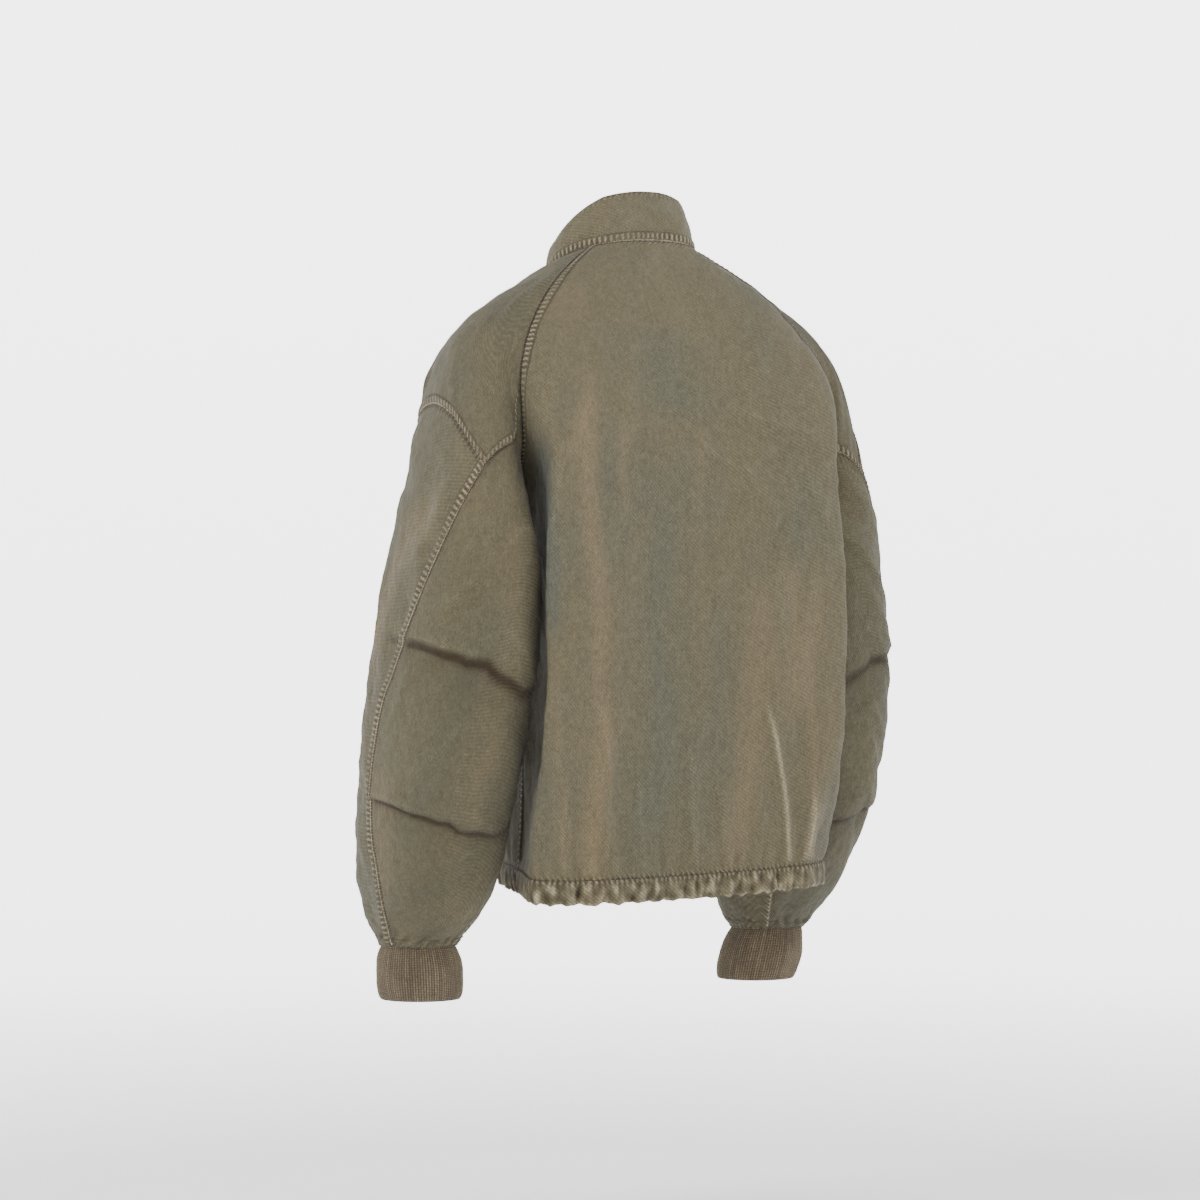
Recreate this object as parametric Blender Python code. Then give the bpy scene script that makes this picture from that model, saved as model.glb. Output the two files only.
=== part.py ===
"""A work jacket: a boxy cotton-twill blouson, closed, in the pose it is worn in.

Raglan saddle shoulders run into full two-piece sleeves with two elbow tucks
and rib-knit cuffs. The body is one back and two fronts between a stand collar
and a drawn-in hem casing, with a zip down the centre front.

The wearer faces -Y with the left arm at +X, and +Z is up. The origin is the
middle of the neck, level with the neck seam, where the jacket is held up.

Sizes in the tables are millimetres. Every panel is a patch of a clamped cubic
B-spline: a table row is one section of the garment, and its columns are the
control places of that section.
"""

from collections import namedtuple
from math import pi

import bmesh
import bpy
import numpy as np

MM = 0.001

# ---------------------------------------------------------------- cloth
SEAM_GAP = 0.3
TWILL = 1.6
COLLAR_CLOTH = 2.4
RIB_KNIT = 2.2
TIP_SHARE = 0.12  # how far a saddle's tip stands in from its panel's end, of one column
VALLEY = (0.75, 0.95)  # cosines of half the turn from one piece to the next, deep and shallow

# ---------------------------------------------------------------- samples
# Both pieces at a seam use the same points along it.
SIDE_ROWS = 10
BACK_PLACES = [0, 0.04, 0.08, 0.115, 0.145, 0.175, 0.21, 0.27, 0.36, 0.5]
FRONT_COLUMNS = 9
SHOULDER_ROWS = 5
COLLAR_ROWS = 3
CUFF_RIBS = 72
HEM_GATHERS = 52
POINTS_PER_GATHER = 4

# ---------------------------------------------------------------- body
BackRow = namedtuple("BackRow", "name centre_y centre_z ridge_x ridge_y hollow_x hollow_y end_x end_y end_z")
BACK = [
    BackRow("neck seam", 70, 9.5, 45, 62, 54, 52, 60, 43, 3),
    BackRow("nape", 82, -12, 72, 76, 88, 66, 96, 58, -18),
    BackRow("yoke", 96, -38, 102, 92, 120, 84, 128, 76, -43),
    BackRow("shoulder blade", 113, -76, 134, 108, 150, 98, 158, 86, -81),
    BackRow("blade low", 126, -118, 160, 124, 172, 112, 179, 100, -118),
    BackRow("ridge top", 134, -158, 166, 138, 178, 118, 177, 96, -152),
    BackRow("ridge", 139, -195, 179, 147, 164, 112, 166, 80, -200),
    BackRow("armpit", 142, -232, 193, 149, 146, 104, 147, 30, -222),
    BackRow("chest", 143, -300, 208, 149, 132, 106, 126, 10, -300),
    BackRow("waist", 142, -380, 212, 148, 128, 104, 123, 5, -380),
    BackRow("blouse", 139, -455, 213, 142, 126, 98, 123, 2, -455),
    BackRow("blouse low", 133, -525, 213, 128, 133, 82, 125, 0, -525),
    BackRow("gather", 127, -576, 208, 112, 143, 64, 128, 0, -575),
    BackRow("hem seam", 124, -614, 194, 103, 148, 52, 132, 0, -607),
]
FrontRow = namedtuple("FrontRow", "name end_x end_y end_z chest_x chest_y chest_z centre_y centre_z")
FRONT = [
    FrontRow("neck seam", 58, -40, -40, 35, -60, -54, -70, -61),
    FrontRow("collar bone", 88, -58, -62, 50, -78, -76, -82, -84),
    FrontRow("upper chest", 120, -74, -88, 75, -96, -104, -98, -112),
    FrontRow("chest", 146, -72, -120, 95, -106, -136, -112, -142),
    FrontRow("raglan", 156, -60, -155, 110, -112, -168, -120, -172),
    FrontRow("raglan low", 157, -44, -190, 120, -114, -198, -125, -203),
    FrontRow("hollow", 152, -22, -213, 124, -110, -220, -126, -228),
    FrontRow("armpit", 147, 30, -222, 124, -106, -244, -125, -250),
    FrontRow("chest low", 126, 10, -300, 120, -102, -300, -122, -302),
    FrontRow("waist", 123, 5, -380, 118, -99, -378, -118, -378),
    FrontRow("blouse", 123, 2, -455, 117, -97, -450, -114, -450),
    FrontRow("blouse low", 125, 0, -525, 115, -95, -520, -110, -518),
    FrontRow("gather", 128, 0, -575, 113, -93, -571, -105, -570),
    FrontRow("hem seam", 132, 0, -607, 109, -90, -604, -101, -603),
]
ARMPIT_ROW = 7
NECK_SIDE_POINT = (77, -2, -14)
# Share of the way from the centre's height to the seam's, at each column.
BACK_FALL = {"middle": 0.12, "ridge": 0.4, "hollow": 0.8}
# The body hangs a little to the wearer's right, and its hem is lower on the left.
SWAY_HEIGHTS = [-620, -450, -300, -200, -110, -50]
SWAY = [13, 8, 4, 7, 4, 0]
HEM_TILT, TILT_FROM, TILT_TO = 0.025, -300, -620

# ---------------------------------------------------------------- sleeves
# Round the sleeve, places are shares of a turn: 0 under the arm, 0.25 at the
# back, 0.5 outside and 0.75 in front.
Mark = namedtuple("Mark", "name turn segments")
AROUND = [
    Mark("armpit", 0.0, 6),
    Mark("saddle tip, back", 0.17, 5),
    Mark("junction", 0.34, 3),
    Mark("neck, back", 0.44, 3),
    Mark("neck, front", 0.56, 7),
    Mark("saddle tip, front", 0.85, 4),
    Mark("armpit again", 1.0, 0),
]
Start = namedtuple("Start", "turn x y z")
SLEEVE_START = [  # how the sleeve leaves the raglan seam
    Start(0.00, 4, 0, -24),
    Start(0.12, 6, 2, -22),
    Start(0.25, 12, 0, -16),
    Start(0.38, 24, 1, -12),
    Start(0.50, 30, 0, -14),
    Start(0.62, 26, 2, -16),
    Start(0.75, 14, 8, -22),
    Start(0.88, 6, 4, -26),
]
Ring = namedtuple("Ring", "name x y z half_wide half_deep square rise")
SLEEVE = [
    Ring("shoulder", 181, 32, -170, 31, 64, 2.1, 98),
    Ring("deltoid", 184, 35, -216, 43, 73, 2.2, 74),
    Ring("upper arm", 189, 38, -256, 49, 82, 2.4, 58),
    Ring("biceps", 197, 38, -303, 56, 90, 2.5, 42),
    Ring("above elbow", 205, 34, -362, 62, 92, 2.6, 26),
    Ring("elbow", 211, 27, -424, 66, 92, 2.6, 12),
    Ring("below elbow", 213, 16, -486, 67, 90, 2.6, 4),
    Ring("forearm", 214, 2, -546, 64, 86, 2.6, 0),
    Ring("fullest", 210, -15, -602, 62, 80, 2.5, 0),
    Ring("drawn in", 207, -30, -645, 58, 66, 2.3, 0),
    Ring("wrist", 207, -40, -673, 43, 44, 2.1, 0),
    Ring("cuff seam", 207, -43, -684, 38, 37, 2.0, 0),
]
# The right arm hangs a little further forward and outward than the left.
RIGHT_ARM_FORWARD, RIGHT_ARM_OUT = 9, 5
# The sleeve heads follow the body's sway.
SHOULDER_LEAN = {"left": 3.0, "right": 6.0}
LEAN_SHARES = [1.0, 0.7, 0.4, 0.15] + [0.0] * (len(SLEEVE) - 4)
SLEEVE_MIDDLE = (195, 10, -190)  # inside the sleeve's tube
UNDER_SEAM = [0.0, 0.02, 0.06, 0.10, 0.14, 0.16]
BACK_SEAM = [0.34, 0.375, 0.46, 0.53, 0.505, 0.455, 0.445]
Seam = namedtuple("Seam", "turn down")
SADDLE_SEAM = [  # lower edge of the saddle shoulder, as a share of the sleeve's length
    Seam(0.17, 0.0),
    Seam(0.25, 0.14),
    Seam(0.34, 0.262),
    Seam(0.39, 0.243),
    Seam(0.44, 0.218),
    Seam(0.50, 0.205),
    Seam(0.60, 0.205),
    Seam(0.70, 0.17),
    Seam(0.85, 0.0),
]
SLEEVE_ROWS = [
    0, 0.07, 0.14, 0.21, 0.275, 0.3315, 0.3465, 0.41, 0.475, 0.54, 0.6045, 0.6195, 0.69, 0.77, 0.85, 0.92, 0.965, 1,
]
Tuck = namedtuple("Tuck", "name down slant overhang")
TUCKS = [Tuck("elbow tuck", 0.339, 0.21, 5.0), Tuck("forearm tuck", 0.612, 0.152, 5.0)]
TUCK_RISE, TUCK_FALL = 0.045, 0.05
# Across the panel behind, from the under seam (0) to the back seam (1): how far
# the tuck line has dropped, and how much its ledge stands out.
TUCK_REACH = {"at": [0, 0.15, 0.30, 0.45, 0.60, 0.80, 1], "share": [0.5, 0.95, 1, 0.93, 0.74, 0.38, 0]}
TUCK_LEDGE = {"at": [0, 0.20, 0.50, 0.90, 1], "share": [0, 0.6, 1, 0.8, 0.4]}
TUCK_ENDS = 0.05  # past the back seam, in turns
TUCK_BELOW = 0.3

# ---------------------------------------------------------------- folds
Fold = namedtuple("Fold", "across_top across_low top low width height")
BACK_FOLDS = [  # across 0 to 1 from the left seam to the right, down in levels
    Fold(0.34, 0.30, 1.1, 2.0, 0.035, 3.0),
    Fold(0.60, 0.62, 1.3, 2.0, 0.030, 2.5),
    Fold(0.76, 0.72, 1.2, 2.0, 0.030, 3.5),
    Fold(0.47, 0.46, 1.4, 2.0, 0.030, -2.5),
]
FRONT_FOLDS = [
    Fold(0.20, 0.24, 0.9, 2.0, 0.035, 3.5),
    Fold(0.35, 0.34, 1.3, 2.0, 0.030, -3.0),
    Fold(0.66, 0.64, 1.2, 2.0, 0.035, 3.0),
    Fold(0.80, 0.77, 0.9, 2.0, 0.035, 3.5),
]

# ---------------------------------------------------------------- collar
COLLAR_TOP_Y = -7.5
COLLAR_TOP_HALF_WIDE, COLLAR_TOP_HALF_DEEP = 70, 61
TopEdge = namedtuple("TopEdge", "y z")
COLLAR_TOP = [
    TopEdge(-68, -22), TopEdge(-52, -13), TopEdge(-33, 0), TopEdge(-8, 13),
    TopEdge(20, 37), TopEdge(40, 53), TopEdge(53, 59),
]
COLLAR_SWELL = 2.5

# ---------------------------------------------------------------- cuffs and hem
CUFF_HEIGHT = 53
CUFF_RIB_HEIGHT = 0.7
CuffRow = namedtuple("CuffRow", "down out")
CUFF = [CuffRow(0, -1.0), CuffRow(0.3, 3.0), CuffRow(0.8, 4.0), CuffRow(1, 1.5)]
CUFF_DRIFT_X, CUFF_DRIFT_Y = -8, -9
HEM_HEIGHT = 22
HEM_SECTION = [  # out from the panel's face, share of the height down
    (0.2, 0.0), (3.0, 0.3), (3.0, 0.72), (0.4, 1.0), (-2.0, 0.5), (-1.6, 0.0),
]
GATHER_HEIGHT, GATHER_DIP = 1.5, 1.2
GATHER_LEAST, GATHER_SWING = 0.7, 0.3
GATHER_DRIFTS = (0.37, 0.11)  # turns of the slow changes in depth, in radians a place
GATHER_ENDS = 6

# ---------------------------------------------------------------- zip
ZIP_OPENING = 10
TAPE_WIDTH = 15
TAPE_CLOTH = 1.0
TAPE_DEPTH = 2.9
TAPE_BEND = 0.008
SLIDER_AT = 0.70
SLIDER = {"wide": 8, "tall": 11, "thick": 1.5}
BRIDGE = {"inner": 1.7, "outer": 3.0, "thick": 1.6, "axis": 1.1}
PULL = {"wide": 6, "long": 24, "thick": 1.1, "bar": 0.55, "eye_wide": 2.8, "eye_long": 3.7}

# name: base colour, roughness, metallic
FINISHES = {
    "twill": ((0.155, 0.142, 0.105), 0.85, 0.0),
    "knit": ((0.135, 0.105, 0.068), 0.9, 0.0),
    "tape": ((0.09, 0.08, 0.06), 0.8, 0.0),
    "metal": ((0.30, 0.27, 0.22), 0.35, 1.0),
}


# ================================================================ splines
def spline_weights(count, at):
    """Weights of `count` control values at places 0 to 1 of a clamped cubic B-spline."""
    spans = count - 3
    knots = np.concatenate([np.zeros(3), np.arange(spans + 1.0), np.full(3, float(spans))])
    place = np.minimum(np.clip(at, 0, 1) * spans, spans - 1e-9)[..., None]
    weights = ((knots[:-1] <= place) & (place < knots[1:])).astype(float)
    for degree in (1, 2, 3):
        rising = np.maximum(knots[degree:-1] - knots[:-degree - 1], 1e-9)
        falling = np.maximum(knots[degree + 1:] - knots[1:-degree], 1e-9)
        up = (place - knots[:-degree - 1]) / rising
        down = (knots[degree + 1:] - place) / falling
        weights = up * weights[..., :-1] + down * weights[..., 1:]
    return weights


def spline_place(count, index):
    """Where control value `index` pulls hardest."""
    spans = count - 3
    knots = np.concatenate([np.zeros(3), np.arange(spans + 1.0), np.full(3, float(spans))])
    return knots[index + 1:index + 4].mean() / spans


def spline_patch(net, across, down):
    rows = spline_weights(net.shape[0], down)
    columns = spline_weights(net.shape[1], across)
    return np.einsum("...r,...c,rcx->...x", rows, columns, net)


def mirror_x(points):
    return points * np.array([-1, 1, 1])


def smooth(value, low, high):
    share = np.clip((value - low) / (high - low), 0, 1)
    return share * share * (3 - 2 * share)


# ================================================================ body
def mirrored_net(half):
    """A full-width net from half ones: columns run seam to centre, the centre last."""
    mirror = half[:, -2::-1] * np.array([-1, 1, 1])
    return np.concatenate([half, mirror], axis=1)


def back_net():
    rows = []
    for row in BACK:
        def height(column):
            return row.centre_z + (row.end_z - row.centre_z) * BACK_FALL[column]
        rows.append([
            (row.end_x, row.end_y, row.end_z),
            (row.hollow_x, row.hollow_y, height("hollow")),
            (row.ridge_x, row.ridge_y, height("ridge")),
            (row.ridge_x * 0.5, row.centre_y + 1, height("middle")),
            (0, row.centre_y, row.centre_z),
        ])
    return mirrored_net(np.array(rows, float))


def front_net():
    rows = []
    for row in FRONT:
        rows.append([
            (row.end_x, row.end_y, row.end_z),
            (0.35 * row.end_x + 0.65 * row.chest_x, 0.5 * (row.end_y + row.chest_y),
             0.5 * (row.end_z + row.chest_z)),
            (row.chest_x, row.chest_y, row.chest_z),
            (row.chest_x * 0.5, row.centre_y - 1, row.centre_z + 1),
            (0, row.centre_y, row.centre_z),
        ])
    return mirrored_net(np.array(rows, float))


BACK_NET, FRONT_NET = back_net(), front_net()
ARMPIT_PLACE = spline_place(len(BACK), ARMPIT_ROW)


def row_place(level):
    """Level 0 is the neck seam, 1 the armpit and 2 the hem seam."""
    return np.interp(level, [0, 1, 2], [0, ARMPIT_PLACE, 1])


def raw_back(across, level):
    return spline_patch(BACK_NET, across, row_place(level))


def back_point(across, level):
    return sway(raw_back(across, level) + fold_shift(BACK_FOLDS, across, level, 1))


def seam_pull(side, level):
    """What brings the front's side edge onto the back's, below the armpit."""
    lower = np.maximum(level, 1)
    pull = raw_back(side, lower) - spline_patch(FRONT_NET, side, row_place(lower))
    return pull * smooth(level, 0.6, 1)[..., None]


def front_point(across, level):
    point = spline_patch(FRONT_NET, across, row_place(level))
    left_share = smooth(0.5 - across, 0.1, 0.5)[..., None]
    right_share = smooth(across - 0.5, 0.1, 0.5)[..., None]
    point = point + seam_pull(np.zeros_like(across), level) * left_share
    point = point + seam_pull(np.ones_like(across), level) * right_share
    return sway(point + fold_shift(FRONT_FOLDS, across, level, -1))


def sway(point):
    height = point[..., 2]
    aside = -np.interp(height, SWAY_HEIGHTS, SWAY)
    drop = -HEM_TILT * point[..., 0] * smooth(-height, -TILT_FROM, -TILT_TO)
    return point + np.stack([aside, 0 * aside, drop], axis=-1)


def fold_shift(folds, across, level, outward):
    """Soft vertical folds: each a ridge or trough that grows towards the hem."""
    height = np.zeros(np.broadcast(across, level).shape)
    for fold in folds:
        share = np.clip((level - fold.top) / (fold.low - fold.top), 0, 1)
        centre = fold.across_top + (fold.across_low - fold.across_top) * share
        height = height + fold.height * share * np.exp(-((across - centre) / fold.width) ** 2)
    return height[..., None] * np.array([0, outward, 0])


# ================================================================ sleeve
def neck_side(share):
    """The neck seam across the left shoulder, from the back panel to the front."""
    start, end = back_point(np.array(0.0), np.array(0.0)), front_point(np.array(0.0), np.array(0.0))
    pull = 2 * np.array(NECK_SIDE_POINT) - (start + end) / 2
    share = share[..., None]
    return (1 - share) ** 2 * start + 2 * share * (1 - share) * pull + share ** 2 * end


TURN = {mark.name: mark.turn for mark in AROUND}
NECK_BACK, NECK_FRONT = TURN["neck, back"], TURN["neck, front"]


def raglan(turn, side):
    """The seam where a sleeve joins the body, and its neck edge, with the right one mirrored."""
    turn = np.clip(turn, 0, 1)
    edge = np.full_like(turn, 0.0 if side == "left" else 1.0)
    on_back = back_point(edge, 1 - turn / NECK_BACK)
    on_neck = neck_side((turn - NECK_BACK) / (NECK_FRONT - NECK_BACK))
    on_front = front_point(edge, (turn - NECK_FRONT) / (1 - NECK_FRONT))
    if side == "right":
        on_back, on_front = mirror_x(on_back), mirror_x(on_front)
    at_back, at_neck = (turn <= NECK_BACK)[..., None], (turn < NECK_FRONT)[..., None]
    return np.where(at_back, on_back, np.where(at_neck, on_neck, on_front))


def round_table(rows, turn):
    """Smooth values round the sleeve from a table of turns, which closes on itself."""
    turns = np.array([row.turn for row in rows])
    values = np.array([row[1:] for row in rows], float)
    step = turns[1] - turns[0]
    place = np.mod(turn, 1)[..., None]
    total = 0
    share = 0
    for centre, value in zip(turns, values):
        gap = np.abs(place - centre)
        gap = np.minimum(gap, 1 - gap)
        weight = np.exp(-(gap / step) ** 2)
        total = total + weight * value
        share = share + weight
    return total / share


def ring_point(ring, turn):
    angle = 2 * pi * (0.5 - turn)
    out, back = np.cos(angle), np.sin(angle)
    out = np.sign(out) * np.abs(out) ** (2 / ring.square)
    back = np.sign(back) * np.abs(back) ** (2 / ring.square)
    return np.stack([
        ring.x + ring.half_wide * out,
        ring.y + ring.half_deep * back,
        ring.z + ring.rise * out,
    ], axis=-1)


def sleeve_point(turn, down, side):
    """A sleeve's face, seen as a left one. `down` is 0 at the raglan seam and 1 at the cuff."""
    seam_turn = np.mod(turn, 1)
    first = raglan(seam_turn, side)
    lean = np.array([SHOULDER_LEAN[side], 0, 0])
    controls = [first, first + round_table(SLEEVE_START, seam_turn)]
    controls += [ring_point(ring, turn) + lean * share for ring, share in zip(SLEEVE, LEAN_SHARES)]
    weights = spline_weights(len(controls), down)
    return sum(weights[..., i, None] * control for i, control in enumerate(controls))


def saddle_seam(turn):
    return np.interp(turn, [seam.turn for seam in SADDLE_SEAM], [seam.down for seam in SADDLE_SEAM])


def around_turns():
    """The sleeve's columns at its top, each mark on a column."""
    turns = []
    for mark, following in zip(AROUND, AROUND[1:]):
        turns += list(np.linspace(mark.turn, following.turn, mark.segments + 1)[:-1])
    return np.array(turns + [1.0])


def column_of(name):
    count = 0
    for mark in AROUND:
        if mark.name == name:
            return count
        count += mark.segments
    raise KeyError(name)


def spline_value(values, at):
    return spline_weights(len(values), at) @ np.array(values, float)


def sleeve_places(turns, rows):
    """Turn and down for each row and column of the tube below the saddle."""
    top_turn, down = np.meshgrid(turns, rows)
    junction = TURN["junction"]
    under = spline_value(UNDER_SEAM, down)
    back_seam = spline_value(BACK_SEAM, down)
    behind = under + top_turn / junction * (back_seam - under)
    outside = back_seam + (top_turn - junction) / (1 - junction) * (1 + under - back_seam)
    turn = np.where(top_turn <= junction, behind, outside)
    slant = tuck_reach(top_turn) * tuck_slant(down)
    top = saddle_seam(top_turn)
    return turn, top + (1 - top) * (down + slant), top_turn, down


def tuck_reach(top_turn):
    """How far a tuck line has dropped: none at the back seam, all near the body."""
    behind = np.interp(top_turn / TURN["junction"], TUCK_REACH["at"], TUCK_REACH["share"])
    outside = smooth(top_turn, 0.7, 1) * TUCK_REACH["share"][0]
    return behind + outside


def tuck_slant(down):
    return np.interp(down, [0] + [tuck.down for tuck in TUCKS] + [1], [0] + [tuck.slant for tuck in TUCKS] + [0])


def tuck_height(top_turn, down):
    """Cloth caught up at the back seam hangs over in a ledge that fades inwards."""
    junction = TURN["junction"]
    fade = np.interp(top_turn / junction, TUCK_LEDGE["at"], TUCK_LEDGE["share"])
    fade = fade * (1 - smooth(top_turn, junction, junction + TUCK_ENDS))
    height = 0
    for tuck in TUCKS:
        below = down - tuck.down
        ledge = np.where(below < 0, np.exp(below / TUCK_RISE), -TUCK_BELOW * np.exp(-below / TUCK_FALL))
        height = height + tuck.overhang * ledge
    return height * fade


# ================================================================ grids
def grid_normals(grid):
    down = np.gradient(grid, axis=0)
    across = np.gradient(grid, axis=1)
    return np.cross(down, across)


def closed_normals(grid):
    """Normals of a grid whose last column is its first again."""
    padded = np.concatenate([grid[:, -2:-1], grid, grid[:, 1:2]], axis=1)
    return grid_normals(padded)[:, 1:-1]


def unit(vectors):
    length = np.linalg.norm(vectors, axis=-1, keepdims=True)
    return vectors / np.maximum(length, 1e-9)


def into_piece(grid):
    """At each edge point, the direction into the piece; zero inside it."""
    inward = np.zeros_like(grid)
    inward[0] += unit(grid[1] - grid[0])
    inward[-1] += unit(grid[-2] - grid[-1])
    inward[:, 0] += unit(grid[:, 1] - grid[:, 0])
    inward[:, -1] += unit(grid[:, -2] - grid[:, -1])
    return inward


def tube_of(name):
    """Which tube a piece belongs to: the body or one of the sleeves."""
    if "sleeve" in name or "shoulder" in name:
        return name.split("_")[-1]
    return "body"


def share_normals(grids, normals):
    """Pieces that meet at a seam get the same normal at each shared point.

    In a deep valley, as behind the arm, the body and the sleeve each keep
    their own. The second value says how deep, 0 to 1.
    """
    keys = {name: [tuple(key) for key in np.round(grid, 3).reshape(-1, 3) + 0.0] for name, grid in grids.items()}
    total = {}
    for name, grid in grids.items():
        both = np.concatenate([normals[name], into_piece(grid)], axis=-1)
        for key, pair in zip(keys[name], both.reshape(-1, 6)):
            for group in ("all", tube_of(name)):
                total[group, key] = total.get((group, key), 0) + pair
    shared = {}
    for name, grid in grids.items():
        size = (*grid.shape[:2], 6)
        values = np.array([total["all", key] for key in keys[name]]).reshape(size)
        tube = np.array([total[tube_of(name), key] for key in keys[name]]).reshape(size)
        average, inward, own = unit(values[..., :3]), values[..., 3:], unit(tube[..., :3])
        turned = np.sum(own * average, axis=-1, keepdims=True)
        valley = np.sum(inward * average, axis=-1, keepdims=True) > 0
        deep = valley * (1 - smooth(turned, *VALLEY))
        shared[name] = unit(deep * own + (1 - deep) * average), deep
    return shared


def trimmed(grid, normal, edges):
    """Each named edge moved half a seam gap into its piece."""
    down = unit(np.gradient(grid, axis=0))
    across = unit(np.gradient(grid, axis=1))
    shift = np.zeros_like(grid)
    half = SEAM_GAP / 2
    if "top" in edges:
        shift[0] += half * unit(np.cross(across[0], -normal[0])) * facing(across[0], normal[0], down[0])
    if "low" in edges:
        shift[-1] += half * unit(np.cross(across[-1], -normal[-1])) * facing(across[-1], normal[-1], -down[-1])
    if "first" in edges:
        shift[:, 0] += half * unit(np.cross(down[:, 0], -normal[:, 0])) * facing(
            down[:, 0], normal[:, 0], across[:, 0])
    if "last" in edges:
        shift[:, -1] += half * unit(np.cross(down[:, -1], -normal[:, -1])) * facing(
            down[:, -1], normal[:, -1], -across[:, -1])
    return grid + shift


def facing(along, normal, inward):
    """1 or -1, so that the cross product of an edge and its normal points inward."""
    side = np.einsum("...x,...x->...", np.cross(along, -normal), inward)
    return np.sign(side)[..., None]


# ================================================================ objects
def finish(name):
    material = bpy.data.materials.get(name)
    if material:
        return material
    colour, roughness, metallic = FINISHES[name]
    material = bpy.data.materials.new(name)
    material.use_nodes = True
    shader = material.node_tree.nodes["Principled BSDF"]
    shader.inputs["Base Color"].default_value = (*colour, 1)
    shader.inputs["Roughness"].default_value = roughness
    shader.inputs["Metallic"].default_value = metallic
    return material


def add_object(name, mesh, material, collection):
    piece = bpy.data.objects.new(name, mesh)
    mesh.materials.append(finish(material).copy())
    mesh.materials[0].name = name + " " + material
    collection.objects.link(piece)
    return piece


def mesh_from(name, points, faces):
    """A closed mesh in metres, with faces turned outwards and slivers dropped."""
    work = bmesh.new()
    verts = [work.verts.new(point) for point in np.asarray(points) * MM]
    for face in faces:
        corners = []
        for index in face:
            if index not in corners:
                corners.append(index)
        if len(corners) > 2:
            work.faces.new([verts[index] for index in corners])
    loose = [vert for vert in work.verts if not vert.link_faces]
    bmesh.ops.delete(work, geom=loose, context="VERTS")
    bmesh.ops.recalc_face_normals(work, faces=work.faces)
    mesh = bpy.data.meshes.new(name)
    work.to_mesh(mesh)
    work.free()
    mesh.shade_smooth()
    mesh.set_sharp_from_angle(angle=pi / 4)
    return mesh


def grid_wall(name, outer, inner, closed=False, tips=()):
    """A wall between two grids, each cell cut the same way on both. `tips` are columns drawn to one point."""
    rows, columns = outer.shape[:2]
    if closed:
        outer, inner = outer[:, :-1], inner[:, :-1]
        columns -= 1
    count = rows * columns

    def at(row, column, side):
        column %= columns
        if column in [tip % columns for tip in tips]:
            row = 0
        return side * count + row * columns + column

    faces = []
    last = columns if closed else columns - 1
    for row in range(rows - 1):
        for column in range(last):
            corners = [(row, column), (row + 1, column), (row + 1, column + 1), (row, column + 1)]
            places = [outer[r, c % columns] for r, c in corners]
            first_cut = np.linalg.norm(places[0] - places[2])
            second_cut = np.linalg.norm(places[1] - places[3])
            halves = ((0, 1, 2), (0, 2, 3)) if first_cut <= second_cut else ((0, 1, 3), (1, 2, 3))
            for half in halves:
                faces.append([at(*corners[i], 0) for i in half])
                faces.append([at(*corners[i], 1) for i in reversed(half)])
    for column in range(last):
        for row in (0, rows - 1):
            faces.append([at(row, column, 0), at(row, column, 1), at(row, column + 1, 1), at(row, column + 1, 0)])
    if not closed:
        for column in (0, columns - 1):
            for row in range(rows - 1):
                faces.append([at(row, column, 0), at(row, column, 1), at(row + 1, column, 1), at(row + 1, column, 0)])
    points = np.concatenate([outer.reshape(-1, 3), inner.reshape(-1, 3)])
    return mesh_from(name, points, faces)


# ================================================================ pieces
def body_levels():
    """Levels of the body's rows on the back and on the fronts, neck to hem."""
    turns = around_turns()
    back_turns = turns[:column_of("neck, back") + 1][::-1]
    front_turns = turns[column_of("neck, front"):]
    below = 1 + np.linspace(0, 1, SIDE_ROWS + 1)[1:]
    back = np.concatenate([1 - back_turns / NECK_BACK, below])
    front = np.concatenate([(front_turns - NECK_FRONT) / (1 - NECK_FRONT), below])
    return back, front


def even_across(point_at, low, high, count, level):
    """Places across a row that are evenly spaced along the cloth."""
    fine = np.linspace(low, high, 200)
    points = point_at(fine, np.full_like(fine, level))
    run = np.concatenate([[0], np.cumsum(np.linalg.norm(np.diff(points, axis=0), axis=1))])
    return np.interp(np.linspace(0, run[-1], count + 1), run, fine)


def back_grid(levels):
    """Columns keep their places, so one of them runs down each ridge."""
    half = np.array(BACK_PLACES)
    across, level = np.meshgrid(np.concatenate([half, 1 - half[-2::-1]]), levels)
    return back_point(across, level)


def panel_grid(point_at, low_of, high_of, columns, levels):
    rows = []
    for level in levels:
        across = even_across(point_at, low_of(level), high_of(level), columns, level)
        rows.append(point_at(across, np.full_like(across, level)))
    return np.array(rows)


def front_edge(level):
    """Where the left front stops short of the zip, as a place across."""
    fine = np.linspace(0.3, 0.5, 200)
    from_centre = front_point(fine, np.full_like(fine, level)) - front_point(np.array([0.5]), np.array([level]))
    return float(np.interp(-ZIP_OPENING / 2, -from_centre[:, 0], fine))


def sleeve_grids(side):
    """A sleeve's tube below the saddle, and its saddle."""
    turns = around_turns()
    rows = np.array(SLEEVE_ROWS)
    turn, down, top_turn, row = sleeve_places(turns, rows)
    tube = arm_moved(sleeve_point(turn, down, side), down, side)
    lift = tuck_height(top_turn, row)
    tube = tube + unit(closed_normals(tube)) * lift[..., None]
    first, last = column_of("saddle tip, back"), column_of("saddle tip, front")
    saddle_turns = turns[first:last + 1]
    share = np.linspace(0, 1, SHOULDER_ROWS + 1)[:, None]
    saddle_down = share * saddle_seam(saddle_turns)[None]
    saddle = sleeve_point(saddle_turns[None] + 0 * share, saddle_down, side)
    saddle = arm_moved(saddle, saddle_down, side)
    tube[0, first:last + 1] = saddle[-1]
    return tube, saddle


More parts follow.
